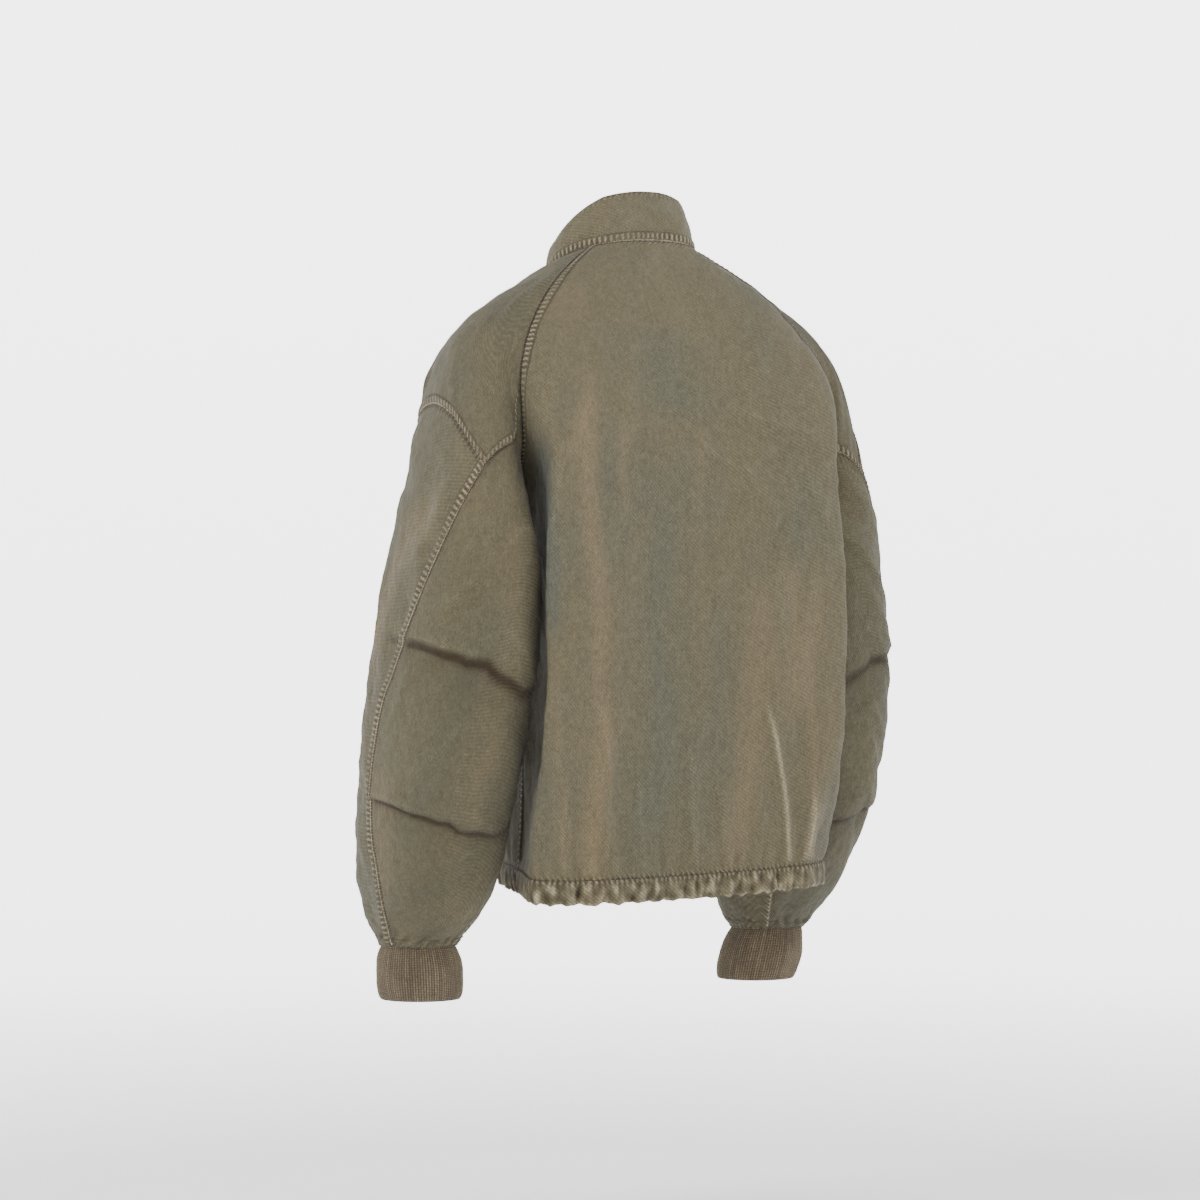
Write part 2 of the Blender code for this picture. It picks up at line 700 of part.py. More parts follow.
def arm_move(side):
    if side == "left":
        return np.zeros(3)
    return np.array([RIGHT_ARM_OUT, -RIGHT_ARM_FORWARD, 0])


def arm_moved(point, down, side):
    return point + smooth(down, 0, 0.4)[..., None] * arm_move(side)


def body_grids():
    back_levels, front_levels = body_levels()
    back = back_grid(back_levels)
    left = panel_grid(front_point, lambda level: 0.0, front_edge, FRONT_COLUMNS, front_levels)
    right = panel_grid(front_point, lambda level: 1 - front_edge(level), lambda level: 1.0,
                       FRONT_COLUMNS, front_levels)
    return back, left, right


def collar_point(base, share):
    """The stand collar above a point of the neck seam."""
    angle = np.arctan2(base[..., 1] - COLLAR_TOP_Y, base[..., 0])
    top_x = COLLAR_TOP_HALF_WIDE * np.cos(angle)
    top_y = COLLAR_TOP_Y + COLLAR_TOP_HALF_DEEP * np.sin(angle)
    top_z = np.interp(top_y, [edge.y for edge in COLLAR_TOP], [edge.z for edge in COLLAR_TOP])
    top = np.stack([top_x, top_y, top_z], axis=-1)
    outward = np.stack([np.cos(angle), np.sin(angle), 0 * angle], axis=-1)
    share = share[..., None]
    return base + (top - base) * share + outward * COLLAR_SWELL * np.sin(pi * share)


def neck_line(back, left, right, saddle):
    """Neck seam points from the left front edge round the back to the right front edge."""
    first = column_of("neck, back") - column_of("saddle tip, back")
    last = column_of("neck, front") - column_of("saddle tip, back")
    side = saddle[0, first:last + 1]
    return np.concatenate([
        left[0, ::-1], side[::-1][1:], back[0, 1:], mirror_x(side)[1:], right[0, -2::-1],
    ])


def make_walls(collection):
    back, left, right = body_grids()
    sleeves = {side: sleeve_grids(side) for side in ("left", "right")}
    junction = column_of("junction")
    neck = neck_line(back, left, right, sleeves["left"][1])
    share = np.linspace(1, 0, COLLAR_ROWS + 1)[:, None]
    collar = collar_point(neck[None] + 0 * share[..., None], share + 0 * neck[None, :, 0])
    grids = {"back": back, "front_left": left, "front_right": right, "collar": collar}
    for side, (tube, saddle) in sleeves.items():
        parts = {"shoulder_": saddle, "back_sleeve_": tube[:, :junction + 1], "outer_sleeve_": tube[:, junction:]}
        for part, grid in parts.items():
            grids[part + side] = grid if side == "left" else mirror_x(grid)[:, ::-1]
    outward = {name: outward_normals(name, grid) for name, grid in grids.items()}
    shared = share_normals(grids, outward)
    for name, grid in grids.items():
        thickness = COLLAR_CLOTH if name == "collar" else TWILL
        edges = {"top", "low", "first", "last"}
        if name == "collar":
            edges = {"low"}
        normal, deep = shared[name]
        outer = trimmed(grid, normal, edges) - normal * deep * SEAM_GAP / 2
        tips = ()
        if name.startswith("shoulder"):
            tips = (0, grid.shape[1] - 1)
            outer[:, 0] = outer[0, 0] + TIP_SHARE * (outer[:, 1].mean(axis=0) - outer[0, 0])
            outer[:, -1] = outer[0, -1] + TIP_SHARE * (outer[:, -2].mean(axis=0) - outer[0, -1])
        mesh = grid_wall(name, outer, outer - normal * thickness, tips=tips)
        add_object(name, mesh, "twill", collection)
    return grids


def outward_normals(name, grid):
    """Grid normals turned away from the inside of the piece's own tube."""
    normal = grid_normals(grid)
    middle = grid[grid.shape[0] // 2, grid.shape[1] // 2]
    if "sleeve" in name or "shoulder" in name:
        x, y, highest = SLEEVE_MIDDLE
        centre = np.array([np.sign(middle[0]) * x, y, min(middle[2], highest)])
    else:
        centre = np.array([0, 0, middle[2]])
    sign = np.sign(np.dot(normal[grid.shape[0] // 2, grid.shape[1] // 2], middle - centre))
    return normal * sign


def make_cuff(side, sign, collection):
    """A rib-knit tube: ribs stand up on its face, and its inside is plain."""
    ring = SLEEVE[-1]
    ribs = np.arange(2 * CUFF_RIBS)
    turn = ribs / len(ribs)
    base = ring_point(ring, turn) + arm_move(side)
    centre = np.array([ring.x, ring.y, ring.z]) + arm_move(side)
    outward = unit((base - centre) * np.array([1, 1, 0]))
    raised = np.where(ribs % 2 == 0, CUFF_RIB_HEIGHT, 0)[:, None]
    outer, inner = [], []
    for row in CUFF:
        drift = np.array([CUFF_DRIFT_X, CUFF_DRIFT_Y, -CUFF_HEIGHT]) * row.down
        face = base + drift + outward * row.out - np.array([0, 0, SEAM_GAP])
        outer.append(face + outward * raised)
        inner.append(face - outward * RIB_KNIT)
    outer, inner = np.array(outer), np.array(inner)
    closing = [np.concatenate([grid, grid[:, :1]], axis=1) for grid in (outer, inner)]
    closing = [grid * np.array([sign, 1, 1]) for grid in closing]
    mesh = grid_wall("cuff_" + side, *closing, closed=True)
    add_object("cuff_" + side, mesh, "knit", collection)


def hem_line(count):
    """Points round the hem seam from the left of the zip to its right, evenly spaced."""
    edge = front_edge(2.0)
    pieces = [
        (front_point, np.linspace(edge, 0, 300)),
        (back_point, np.linspace(0, 1, 600)),
        (front_point, np.linspace(1, 1 - edge, 300)),
    ]
    points = np.concatenate([at(across, np.full_like(across, 2.0)) for at, across in pieces])
    run = np.concatenate([[0], np.cumsum(np.linalg.norm(np.diff(points, axis=0), axis=1))])
    even = np.linspace(0, run[-1], count)
    return np.stack([np.interp(even, run, points[:, k]) for k in range(3)], axis=-1)


def make_hem(collection):
    """A tunnel of cloth drawn in by its cord, so its face stands in small gathers."""
    count = HEM_GATHERS * POINTS_PER_GATHER + 1
    line = hem_line(count)
    along = unit(np.gradient(line, axis=0) * np.array([1, 1, 0]))
    outward = np.cross(along, np.array([0, 0, 1.0]))
    outward = outward * np.sign(np.sum(outward * (line - line.mean(axis=0)), axis=1))[:, None]
    places = np.arange(count)
    phase = 2 * pi * places / POINTS_PER_GATHER
    quick, slow = GATHER_DRIFTS
    uneven = GATHER_LEAST + GATHER_SWING * np.sin(places * quick) * np.sin(places * slow + 1)
    wave = np.cos(phase) * uneven * smooth(np.minimum(places, count - 1 - places), 0, GATHER_ENDS)
    section = []
    for out, down in HEM_SECTION:
        gathered = GATHER_HEIGHT * wave * (out > 1)
        dip = GATHER_DIP * wave * (down > 0.9)
        point = line + outward * (out + gathered)[:, None]
        point = point - np.array([0, 0, 1.0]) * (HEM_HEIGHT * down + SEAM_GAP + dip)[:, None]
        section.append(point)
    section = np.array(section)
    sides = len(section)
    points = section.transpose(1, 0, 2).reshape(-1, 3)
    faces = []
    for column in range(count - 1):
        for side in range(sides):
            following = (side + 1) % sides
            here, there = column * sides, (column + 1) * sides
            faces.append([here + side, here + following, there + following, there + side])
    faces.append(list(range(sides)))
    faces.append([(count - 1) * sides + side for side in reversed(range(sides))])
    add_object("hem_casing", mesh_from("hem_casing", points, faces), "twill", collection)


def centre_front(level):
    return front_point(np.array([0.5]), np.array([float(level)]))[0]


def zip_line(count):
    """The centre-front line from just above the hem casing to near the collar's top."""
    levels = np.linspace(1.985, 0, count)
    below = np.array([centre_front(level) for level in levels])
    shares = np.linspace(0, 0.93, 5)[1:]
    above = np.array([collar_point(centre_front(0), np.array(share)) for share in shares])
    return np.concatenate([below, above])


def make_zip_tapes(collection):
    line = zip_line(22)
    down = unit(np.gradient(line, axis=0) * np.array([0, 1, 1]))
    outward = np.cross(down, np.array([1.0, 0, 0]))
    outward = outward * np.sign(-outward[:, 1])[:, None]
    for side, sign in (("left", 1), ("right", -1)):
        strips = []
        for depth in (TAPE_DEPTH, TAPE_DEPTH + TAPE_CLOTH):
            edges = []
            for x in (0.5, TAPE_WIDTH / 2, TAPE_WIDTH):
                bend = TAPE_BEND * x ** 2
                edges.append(line - outward * depth + np.array([sign * x, bend, 0]))
            strips.append(np.array(edges).transpose(1, 0, 2))
        mesh = grid_wall("zip_tape_" + side, *strips)
        add_object("zip_tape_" + side, mesh, "tape", collection)


def slider_frame():
    """The slider's place on the tapes, its up direction and its outward direction."""
    low = collar_point(centre_front(0), np.array(SLIDER_AT - 0.1))
    high = collar_point(centre_front(0), np.array(SLIDER_AT + 0.1))
    up = unit((high - low) * np.array([0, 1, 1]))
    outward = unit(np.cross(up, np.array([1.0, 0, 0])))
    outward = outward * np.sign(-outward[1])
    place = (low + high) / 2 * np.array([0, 1, 1]) - outward * TAPE_DEPTH
    place = place + np.array([low[0], 0, 0])
    return place, up, outward


def boxed(work, low, high):
    """A box in the slider's own axes: X across, Y up the zip, Z outward."""
    made = bmesh.ops.create_cube(work, size=1)["verts"]
    low, high = np.array(low, float), np.array(high, float)
    for vert in made:
        vert.co = (low + high) / 2 + np.array(vert.co) * (high - low)


def to_world(mesh, place, up, outward):
    for vert in mesh.vertices:
        x, y, z = vert.co
        vert.co = (place + np.array([x, 0, 0]) + up * y + outward * z) * MM


def make_slider(collection):
    """The slider's face plate with its arched bridge, which traps the pull tab's bar."""
    place, up, outward = slider_frame()
    half_wide, half_tall = SLIDER["wide"] / 2, SLIDER["tall"] / 2
    face = SEAM_GAP + SLIDER["thick"]
    work = bmesh.new()
    boxed(work, (-half_wide, -half_tall, SEAM_GAP), (half_wide, half_tall, face))
    for vert in work.verts:
        if vert.co.y < 0:
            vert.co.x *= 0.75
    plate = bpy.data.meshes.new("zip_slider")
    work.to_mesh(plate)
    work.free()
    to_world(plate, place, up, outward)
    slider = add_object("zip_slider", plate, "metal", collection)

    steps = np.linspace(0, pi, 9)
    axis = face + BRIDGE["axis"]
    profile = [(BRIDGE["outer"] * np.cos(a), axis + BRIDGE["outer"] * np.sin(a)) for a in steps]
    profile = [(BRIDGE["outer"], face - 0.5)] + profile + [(-BRIDGE["outer"], face - 0.5)]
    hollow = [(BRIDGE["inner"] * np.cos(a), axis + BRIDGE["inner"] * np.sin(a)) for a in steps]
    hollow = [(BRIDGE["inner"], face - 0.5)] + hollow + [(-BRIDGE["inner"], face - 0.5)]
    half = BRIDGE["thick"] / 2
    points, faces = [], []
    for x in (-half, half):
        points += [(x, y, z) for y, z in profile] + [(x, y, z) for y, z in hollow]
    count = len(profile)
    side = 2 * count
    for i in range(count - 1):
        faces.append([i, i + 1, count + i + 1, count + i])
        faces.append([side + i, side + count + i, side + count + i + 1, side + i + 1])
        faces.append([i, side + i, side + i + 1, i + 1])
        faces.append([count + i, count + i + 1, side + count + i + 1, side + count + i])
    for i in (0, count - 1):
        faces.append([i, count + i, side + count + i, side + i])
    bridge_mesh = mesh_from("bridge", np.array(points) / MM, faces)
    to_world(bridge_mesh, place, up, outward)
    bridge = bpy.data.objects.new("bridge", bridge_mesh)
    guides = bpy.data.collections.new("joined parts")
    bpy.context.scene.collection.children.link(guides)
    guides.objects.link(bridge)
    bridge.hide_render = True
    bridge.display_type = "WIRE"
    join = slider.modifiers.new("bridge", "BOOLEAN")
    join.operation = "UNION"
    join.solver = "EXACT"
    join.object = bridge
    return place, up, outward, axis


def make_pull(collection, place, up, outward, axis):
    """The pull tab: a plate with an eye whose upper bar lies under the bridge."""
    half_wide, half_eye = PULL["wide"] / 2, PULL["eye_wide"] / 2
    bar, half_thick = PULL["bar"], PULL["thick"] / 2
    outline = [
        (-half_wide, bar), (half_wide, bar),
        (half_wide, -PULL["long"] * 0.55), (half_wide * 0.72, -PULL["long"]),
        (-half_wide * 0.72, -PULL["long"]), (-half_wide, -PULL["long"] * 0.55),
    ]
    eye = [
        (-half_eye, -bar), (half_eye, -bar), (half_eye, -PULL["eye_long"]),
        (half_eye * 0.6, -PULL["eye_long"] - 0.5), (-half_eye * 0.6, -PULL["eye_long"] - 0.5),
        (-half_eye, -PULL["eye_long"]),
    ]
    points, faces = [], []
    for z in (-half_thick, half_thick):
        points += [(x, y, z) for x, y in outline] + [(x, y, z) for x, y in eye]
    count = len(outline)
    side = 2 * count
    for i in range(count):
        j = (i + 1) % count
        faces.append([i, j, count + j, count + i])
        faces.append([side + i, side + count + i, side + count + j, side + j])
        faces.append([i, side + i, side + j, j])
        faces.append([count + i, count + j, side + count + j, side + count + i])
    mesh = mesh_from("zip_pull", np.array(points) / MM, faces)
    to_world(mesh, place + outward * axis, up, outward)
    pivot = bpy.data.objects.new("pull pivot", None)
    pivot.location = (place + outward * axis) * MM
    collection.objects.link(pivot)
    pull = add_object("zip_pull", mesh, "metal", collection)
    for vert in mesh.vertices:
        vert.co -= pivot.location
    pull.parent = pivot


def main():
    for old in list(bpy.data.objects):
        bpy.data.objects.remove(old)
    collection = bpy.data.collections.new("work jacket")
    bpy.context.scene.collection.children.link(collection)
    make_walls(collection)
    for side, sign in (("left", 1), ("right", -1)):
        make_cuff(side, sign, collection)
    make_hem(collection)
    make_zip_tapes(collection)
    make_pull(collection, *make_slider(collection))


main()
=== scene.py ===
# %% [markdown]
# # A work jacket, panel by panel
#
# This lesson dresses a plain solid model of a cotton-twill blouson. The solid
# model already has the true cut, size and pose. It could be painted as it is,
# but cloth is judged by small things: weave, seams, stitches and puckers. So
# every panel is made again from the same pattern tables, about ten times
# finer, and each finish gets the detail that a worn and washed jacket shows.

# %% Load the solid model
from collections import namedtuple
from math import pi

import bpy
import numpy as np
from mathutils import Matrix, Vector


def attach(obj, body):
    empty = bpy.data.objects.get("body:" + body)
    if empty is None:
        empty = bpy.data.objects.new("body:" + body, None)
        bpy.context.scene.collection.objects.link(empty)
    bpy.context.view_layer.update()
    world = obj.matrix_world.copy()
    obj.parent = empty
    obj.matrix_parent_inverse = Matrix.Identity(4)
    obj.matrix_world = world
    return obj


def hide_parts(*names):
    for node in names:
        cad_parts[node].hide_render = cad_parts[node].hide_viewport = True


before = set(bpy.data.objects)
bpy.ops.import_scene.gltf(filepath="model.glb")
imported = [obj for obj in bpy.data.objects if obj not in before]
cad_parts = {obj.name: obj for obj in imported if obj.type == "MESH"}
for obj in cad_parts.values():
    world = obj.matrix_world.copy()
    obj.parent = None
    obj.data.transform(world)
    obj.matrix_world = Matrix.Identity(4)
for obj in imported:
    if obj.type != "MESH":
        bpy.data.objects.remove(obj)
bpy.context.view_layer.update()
MM = 0.001

# %% [markdown]
# ## The camera and the room
#
# A long lens from four metres keeps the jacket's sides nearly parallel, as a
# catalogue picture does. The camera is level with the middle of the picture
# and looks from behind, a little to the left. The floor is one round dish
# that curves up into a wall, so no view shows a hard horizon. A flat plane
# would do for one view only.

# %% Camera, room and lights
TOWARDS_CAMERA = Vector((0.53, 0.848, 0.0))
TO_THE_LEFT = Vector((0.848, -0.53, 0.0))
CAMERA_DISTANCE, CAMERA_HEIGHT, FLOOR = 4.0, -0.345, -0.98
PICTURE_WIDE, PICTURE_MIDDLE, JACKET_MIDDLE = 1200, 600, 620
FLOOR_REACH, BEND, WALL_TOP = 5.0, 2, 4.5
NEAR_GLOW, FAR_GLOW = (0.7, 0.14), (3.0, 2.3)  # metres from the middle, and how strongly the room glows there


def add_camera():
    camera = bpy.data.objects.new("camera", bpy.data.cameras.new("camera"))
    camera.data.lens = 120
    camera.data.sensor_width = 36
    camera.data.shift_x = (PICTURE_MIDDLE - JACKET_MIDDLE) / PICTURE_WIDE
    camera.location = TOWARDS_CAMERA * CAMERA_DISTANCE + Vector((0, 0, CAMERA_HEIGHT))
    camera.rotation_euler = (-TOWARDS_CAMERA).to_track_quat("-Z", "Y").to_euler()
    bpy.context.scene.collection.objects.link(camera)
    bpy.context.scene.camera = camera


def pale_room():
    """A near-white room whose far wall is lit evenly, like a paper backdrop."""
    material = bpy.data.materials.new("pale room")
    material.use_nodes = True
    tree = material.node_tree
    shader = tree.nodes["Principled BSDF"]
    shader.inputs["Base Color"].default_value = (0.88, 0.88, 0.875, 1)
    shader.inputs["Roughness"].default_value = 0.9
    shader.inputs["Emission Color"].default_value = (1, 1, 1, 1)
    place = tree.nodes.new("ShaderNodeTexCoord")
    flat = tree.nodes.new("ShaderNodeVectorMath")
    flat.operation = "MULTIPLY"
    flat.inputs[1].default_value = (1, 1, 0)
    reach = tree.nodes.new("ShaderNodeVectorMath")
    reach.operation = "LENGTH"
    rise = tree.nodes.new("ShaderNodeMapRange")
    for index, value in enumerate((NEAR_GLOW[0], FAR_GLOW[0], NEAR_GLOW[1], FAR_GLOW[1]), start=1):
        rise.inputs[index].default_value = value
    tree.links.new(place.outputs["Object"], flat.inputs[0])
    tree.links.new(flat.outputs[0], reach.inputs[0])
    tree.links.new(reach.outputs["Value"], rise.inputs[0])
    tree.links.new(rise.outputs[0], shader.inputs["Emission Strength"])
    return material


def add_room():
    profile = [(0.0, 0.0), (3.0, 0.0), (FLOOR_REACH, 0.0)]
    profile += [(FLOOR_REACH + BEND * np.sin(a), BEND - BEND * np.cos(a)) for a in np.linspace(0.1, pi / 2, 12)]
    profile += [(FLOOR_REACH + BEND, WALL_TOP)]
    steps = 64
    points, faces = [], []
    for k in range(steps):
        turn = 2 * pi * k / steps
        for reach, height in profile:
            points.append((reach * np.cos(turn), reach * np.sin(turn), FLOOR + height))
    count = len(profile)
    for k in range(steps):
        for i in range(count - 1):
            a, b = k * count + i, ((k + 1) % steps) * count + i
            faces.append((a, b, b + 1, a + 1))
    mesh = bpy.data.meshes.new("room")
    mesh.from_pydata(points, [], faces)
    mesh.shade_smooth()
    mesh.materials.append(pale_room())
    room = bpy.data.objects.new("room", mesh)
    bpy.context.scene.collection.objects.link(room)


def add_light(name, left, near, up, size, power):
    light = bpy.data.lights.new(name, "AREA")
    light.size = size
    light.energy = power
    holder = bpy.data.objects.new(name, light)
    aim = Vector((0, 0, -0.35))
    holder.location = TO_THE_LEFT * left + TOWARDS_CAMERA * near + Vector((0, 0, up))
    holder.rotation_euler = (aim - holder.location).to_track_quat("-Z", "Y").to_euler()
    bpy.context.scene.collection.objects.link(holder)


add_camera()
add_room()
# each light: metres to the left, towards the camera and up, then its size in metres and its watts
add_light("key", 1.9, 1.7, 1.7, 0.8, 46)
add_light("fill", -2.2, 1.6, 0.9, 2.0, 6)
add_light("front", 0.3, -2.4, 1.2, 2.2, 20)
add_light("top", -0.2, 0.3, 1.9, 1.0, 30)
world = bpy.data.worlds.new("soft light")
world.use_nodes = True
world.node_tree.nodes["Background"].inputs["Color"].default_value = (1, 1, 1, 1)
world.node_tree.nodes["Background"].inputs["Strength"].default_value = 0.05
bpy.context.scene.world = world
print("camera, room and four lights")

# %% [markdown]
# ## The pattern tables
#
# A pattern maker draws each panel from a few measured sections. Here each
# table row is one section in millimetres, and a clamped cubic B-spline blends
# the rows into a smooth sheet. A spline is chosen over box modelling because
# the sheet can be sampled as finely as the cloth needs, and because a point
# keeps its place on the panel, so folds, seams and weave can follow it.

# %% The body's sections
BackRow = namedtuple("BackRow", "name centre_y centre_z ridge_x ridge_y hollow_x hollow_y end_x end_y end_z")
BACK = [
    BackRow("neck seam", 70, 9.5, 45, 62, 54, 52, 60, 43, 3),
    BackRow("nape", 82, -12, 72, 76, 88, 66, 96, 58, -18),
    BackRow("yoke", 96, -38, 102, 92, 120, 84, 128, 76, -43),
    BackRow("shoulder blade", 113, -76, 134, 108, 150, 98, 158, 86, -81),
    BackRow("blade low", 126, -118, 160, 124, 172, 112, 179, 100, -118),
    BackRow("ridge top", 134, -158, 166, 138, 178, 118, 177, 96, -152),
    BackRow("ridge", 139, -195, 179, 147, 164, 112, 166, 80, -200),
    BackRow("armpit", 142, -232, 193, 149, 146, 104, 147, 30, -222),
    BackRow("chest", 143, -300, 208, 149, 132, 106, 126, 10, -300),
    BackRow("waist", 142, -380, 212, 148, 128, 104, 123, 5, -380),
    BackRow("blouse", 139, -455, 213, 142, 126, 98, 123, 2, -455),
    BackRow("blouse low", 133, -525, 213, 128, 133, 82, 125, 0, -525),
    BackRow("gather", 127, -576, 208, 112, 143, 64, 128, 0, -575),
    BackRow("hem seam", 124, -614, 194, 103, 148, 52, 132, 0, -607),
]
FrontRow = namedtuple("FrontRow", "name end_x end_y end_z chest_x chest_y chest_z centre_y centre_z")
FRONT = [
    FrontRow("neck seam", 58, -40, -40, 35, -60, -54, -70, -61),
    FrontRow("collar bone", 88, -58, -62, 50, -78, -76, -82, -84),
    FrontRow("upper chest", 120, -74, -88, 75, -96, -104, -98, -112),
    FrontRow("chest", 146, -72, -120, 95, -106, -136, -112, -142),
    FrontRow("raglan", 156, -60, -155, 110, -112, -168, -120, -172),
    FrontRow("raglan low", 157, -44, -190, 120, -114, -198, -125, -203),
    FrontRow("hollow", 152, -22, -213, 124, -110, -220, -126, -228),
    FrontRow("armpit", 147, 30, -222, 124, -106, -244, -125, -250),
    FrontRow("chest low", 126, 10, -300, 120, -102, -300, -122, -302),
    FrontRow("waist", 123, 5, -380, 118, -99, -378, -118, -378),
    FrontRow("blouse", 123, 2, -455, 117, -97, -450, -114, -450),
    FrontRow("blouse low", 125, 0, -525, 115, -95, -520, -110, -518),
    FrontRow("gather", 128, 0, -575, 113, -93, -571, -105, -570),
    FrontRow("hem seam", 132, 0, -607, 109, -90, -604, -101, -603),
]
ARMPIT_ROW = 7
NECK_SIDE_POINT = (77, -2, -14)
BACK_FALL = {"middle": 0.12, "ridge": 0.4, "hollow": 0.8}
SWAY_HEIGHTS = [-620, -450, -300, -200, -110, -50]
SWAY = [13, 8, 4, 7, 4, 0]
HEM_TILT, TILT_FROM, TILT_TO = 0.025, -300, -620
print(len(BACK), "back sections,", len(FRONT), "front sections")

# %% The sleeve's sections
# Places round a sleeve are shares of a turn: 0 under the arm, 0.25 at the back,
# 0.5 outside and 0.75 in front.
NECK_BACK, NECK_FRONT, JUNCTION = 0.44, 0.56, 0.34
TIP_BACK, TIP_FRONT = 0.17, 0.85
Start = namedtuple("Start", "turn x y z")
SLEEVE_START = [
    Start(0.00, 4, 0, -24),
    Start(0.12, 6, 2, -22),
    Start(0.25, 12, 0, -16),
    Start(0.38, 24, 1, -12),
    Start(0.50, 30, 0, -14),
    Start(0.62, 26, 2, -16),
    Start(0.75, 14, 8, -22),
    Start(0.88, 6, 4, -26),
]
Ring = namedtuple("Ring", "name x y z half_wide half_deep square rise")
SLEEVE = [
    Ring("shoulder", 181, 32, -170, 31, 64, 2.1, 98),
    Ring("deltoid", 184, 35, -216, 43, 73, 2.2, 74),
    Ring("upper arm", 189, 38, -256, 49, 82, 2.4, 58),
    Ring("biceps", 197, 38, -303, 56, 90, 2.5, 42),
    Ring("above elbow", 205, 34, -362, 62, 92, 2.6, 26),
    Ring("elbow", 211, 27, -424, 66, 92, 2.6, 12),
    Ring("below elbow", 213, 16, -486, 67, 90, 2.6, 4),
    Ring("forearm", 214, 2, -546, 64, 86, 2.6, 0),
    Ring("fullest", 210, -15, -602, 62, 80, 2.5, 0),
    Ring("drawn in", 207, -30, -645, 58, 66, 2.3, 0),
    Ring("wrist", 207, -40, -673, 43, 44, 2.1, 0),
    Ring("cuff seam", 207, -43, -684, 38, 37, 2.0, 0),
]
RIGHT_ARM_FORWARD, RIGHT_ARM_OUT = 9, 5
SHOULDER_LEAN = {"left": 3.0, "right": 6.0}
LEAN_SHARES = [1.0, 0.7, 0.4, 0.15] + [0.0] * (len(SLEEVE) - 4)
UNDER_SEAM = [0.0, 0.02, 0.06, 0.10, 0.14, 0.16]
BACK_SEAM = [0.34, 0.375, 0.46, 0.53, 0.505, 0.455, 0.445]
Seam = namedtuple("Seam", "turn down")
SADDLE_SEAM = [
    Seam(0.17, 0.0),
    Seam(0.25, 0.14),
    Seam(0.34, 0.262),
    Seam(0.39, 0.243),
    Seam(0.44, 0.218),
    Seam(0.50, 0.205),
    Seam(0.60, 0.205),
    Seam(0.70, 0.17),
    Seam(0.85, 0.0),
]
Tuck = namedtuple("Tuck", "name down slant overhang")
TUCKS = [Tuck("elbow tuck", 0.339, 0.21, 5.0), Tuck("forearm tuck", 0.612, 0.152, 5.0)]
TUCK_RISE, TUCK_FALL, TUCK_BELOW, TUCK_ENDS = 0.045, 0.05, 0.3, 0.05
TUCK_SHARP, TUCK_OPEN = 0.003, 0.017
TUCK_REACH = {"at": [0, 0.15, 0.30, 0.45, 0.60, 0.80, 1], "share": [0.5, 0.95, 1, 0.93, 0.74, 0.38, 0]}
TUCK_LEDGE = {"at": [0, 0.20, 0.50, 0.90, 1], "share": [0, 0.6, 1, 0.8, 0.4]}
print(len(SLEEVE), "sleeve rings,", len(TUCKS), "tucks")

# %% Soft folds of the drape
Fold = namedtuple("Fold", "across_top across_low top low width height")
BACK_FOLDS = [
    Fold(0.34, 0.30, 1.1, 2.0, 0.035, 3.0),
    Fold(0.60, 0.62, 1.3, 2.0, 0.030, 2.5),
    Fold(0.76, 0.72, 1.2, 2.0, 0.030, 3.5),
    Fold(0.47, 0.46, 1.4, 2.0, 0.030, -2.5),
]
FRONT_FOLDS = [
    Fold(0.20, 0.24, 0.9, 2.0, 0.035, 3.5),
    Fold(0.35, 0.34, 1.3, 2.0, 0.030, -3.0),
    Fold(0.66, 0.64, 1.2, 2.0, 0.035, 3.0),
    Fold(0.80, 0.77, 0.9, 2.0, 0.035, 3.5),
]

# %% The collar
COLLAR_TOP_Y = -7.5
COLLAR_TOP_HALF_WIDE, COLLAR_TOP_HALF_DEEP = 70, 61
TopEdge = namedtuple("TopEdge", "y z")
COLLAR_TOP = [
    TopEdge(-68, -22), TopEdge(-52, -13), TopEdge(-33, 0), TopEdge(-8, 13),
    TopEdge(20, 37), TopEdge(40, 53), TopEdge(53, 59),
]
COLLAR_SWELL = 2.5
ZIP_OPENING = 10


# %% [markdown]
# ## Sampling a panel
#
# A B-spline point is a weighted mean of the control places round it. The
# weights come from the usual recursion, done here on whole arrays at once,
# which is far faster than one point at a time.

# %% Spline weights
def spline_weights(count, at):
    spans = count - 3
    knots = np.concatenate([np.zeros(3), np.arange(spans + 1.0), np.full(3, float(spans))])
    place = np.minimum(np.clip(at, 0, 1) * spans, spans - 1e-9)[..., None]
    weights = ((knots[:-1] <= place) & (place < knots[1:])).astype(float)
    for degree in (1, 2, 3):
        rising = np.maximum(knots[degree:-1] - knots[:-degree - 1], 1e-9)
        falling = np.maximum(knots[degree + 1:] - knots[1:-degree], 1e-9)
        up = (place - knots[:-degree - 1]) / rising
        down = (knots[degree + 1:] - place) / falling
        weights = up * weights[..., :-1] + down * weights[..., 1:]
    return weights


def spline_patch(net, across, down):
    rows = spline_weights(net.shape[0], down)
    columns = spline_weights(net.shape[1], across)
    return np.einsum("...r,...c,rcx->...x", rows, columns, net, optimize=True)


def spline_value(values, at):
    return spline_weights(len(values), at) @ np.array(values, float)


def mirror_x(points):
    return points * np.array([-1, 1, 1])


def smooth(value, low, high):
    share = np.clip((value - low) / (high - low), 0, 1)
    return share * share * (3 - 2 * share)


def hump(distance, width):
    return np.exp(-(distance / width) ** 2)


print("weights of five controls at the middle:", spline_weights(5, np.array(0.5)).round(3))


# %% The body's sheets
def mirrored_net(half):
    return np.concatenate([half, mirror_x(half[:, -2::-1])], axis=1)


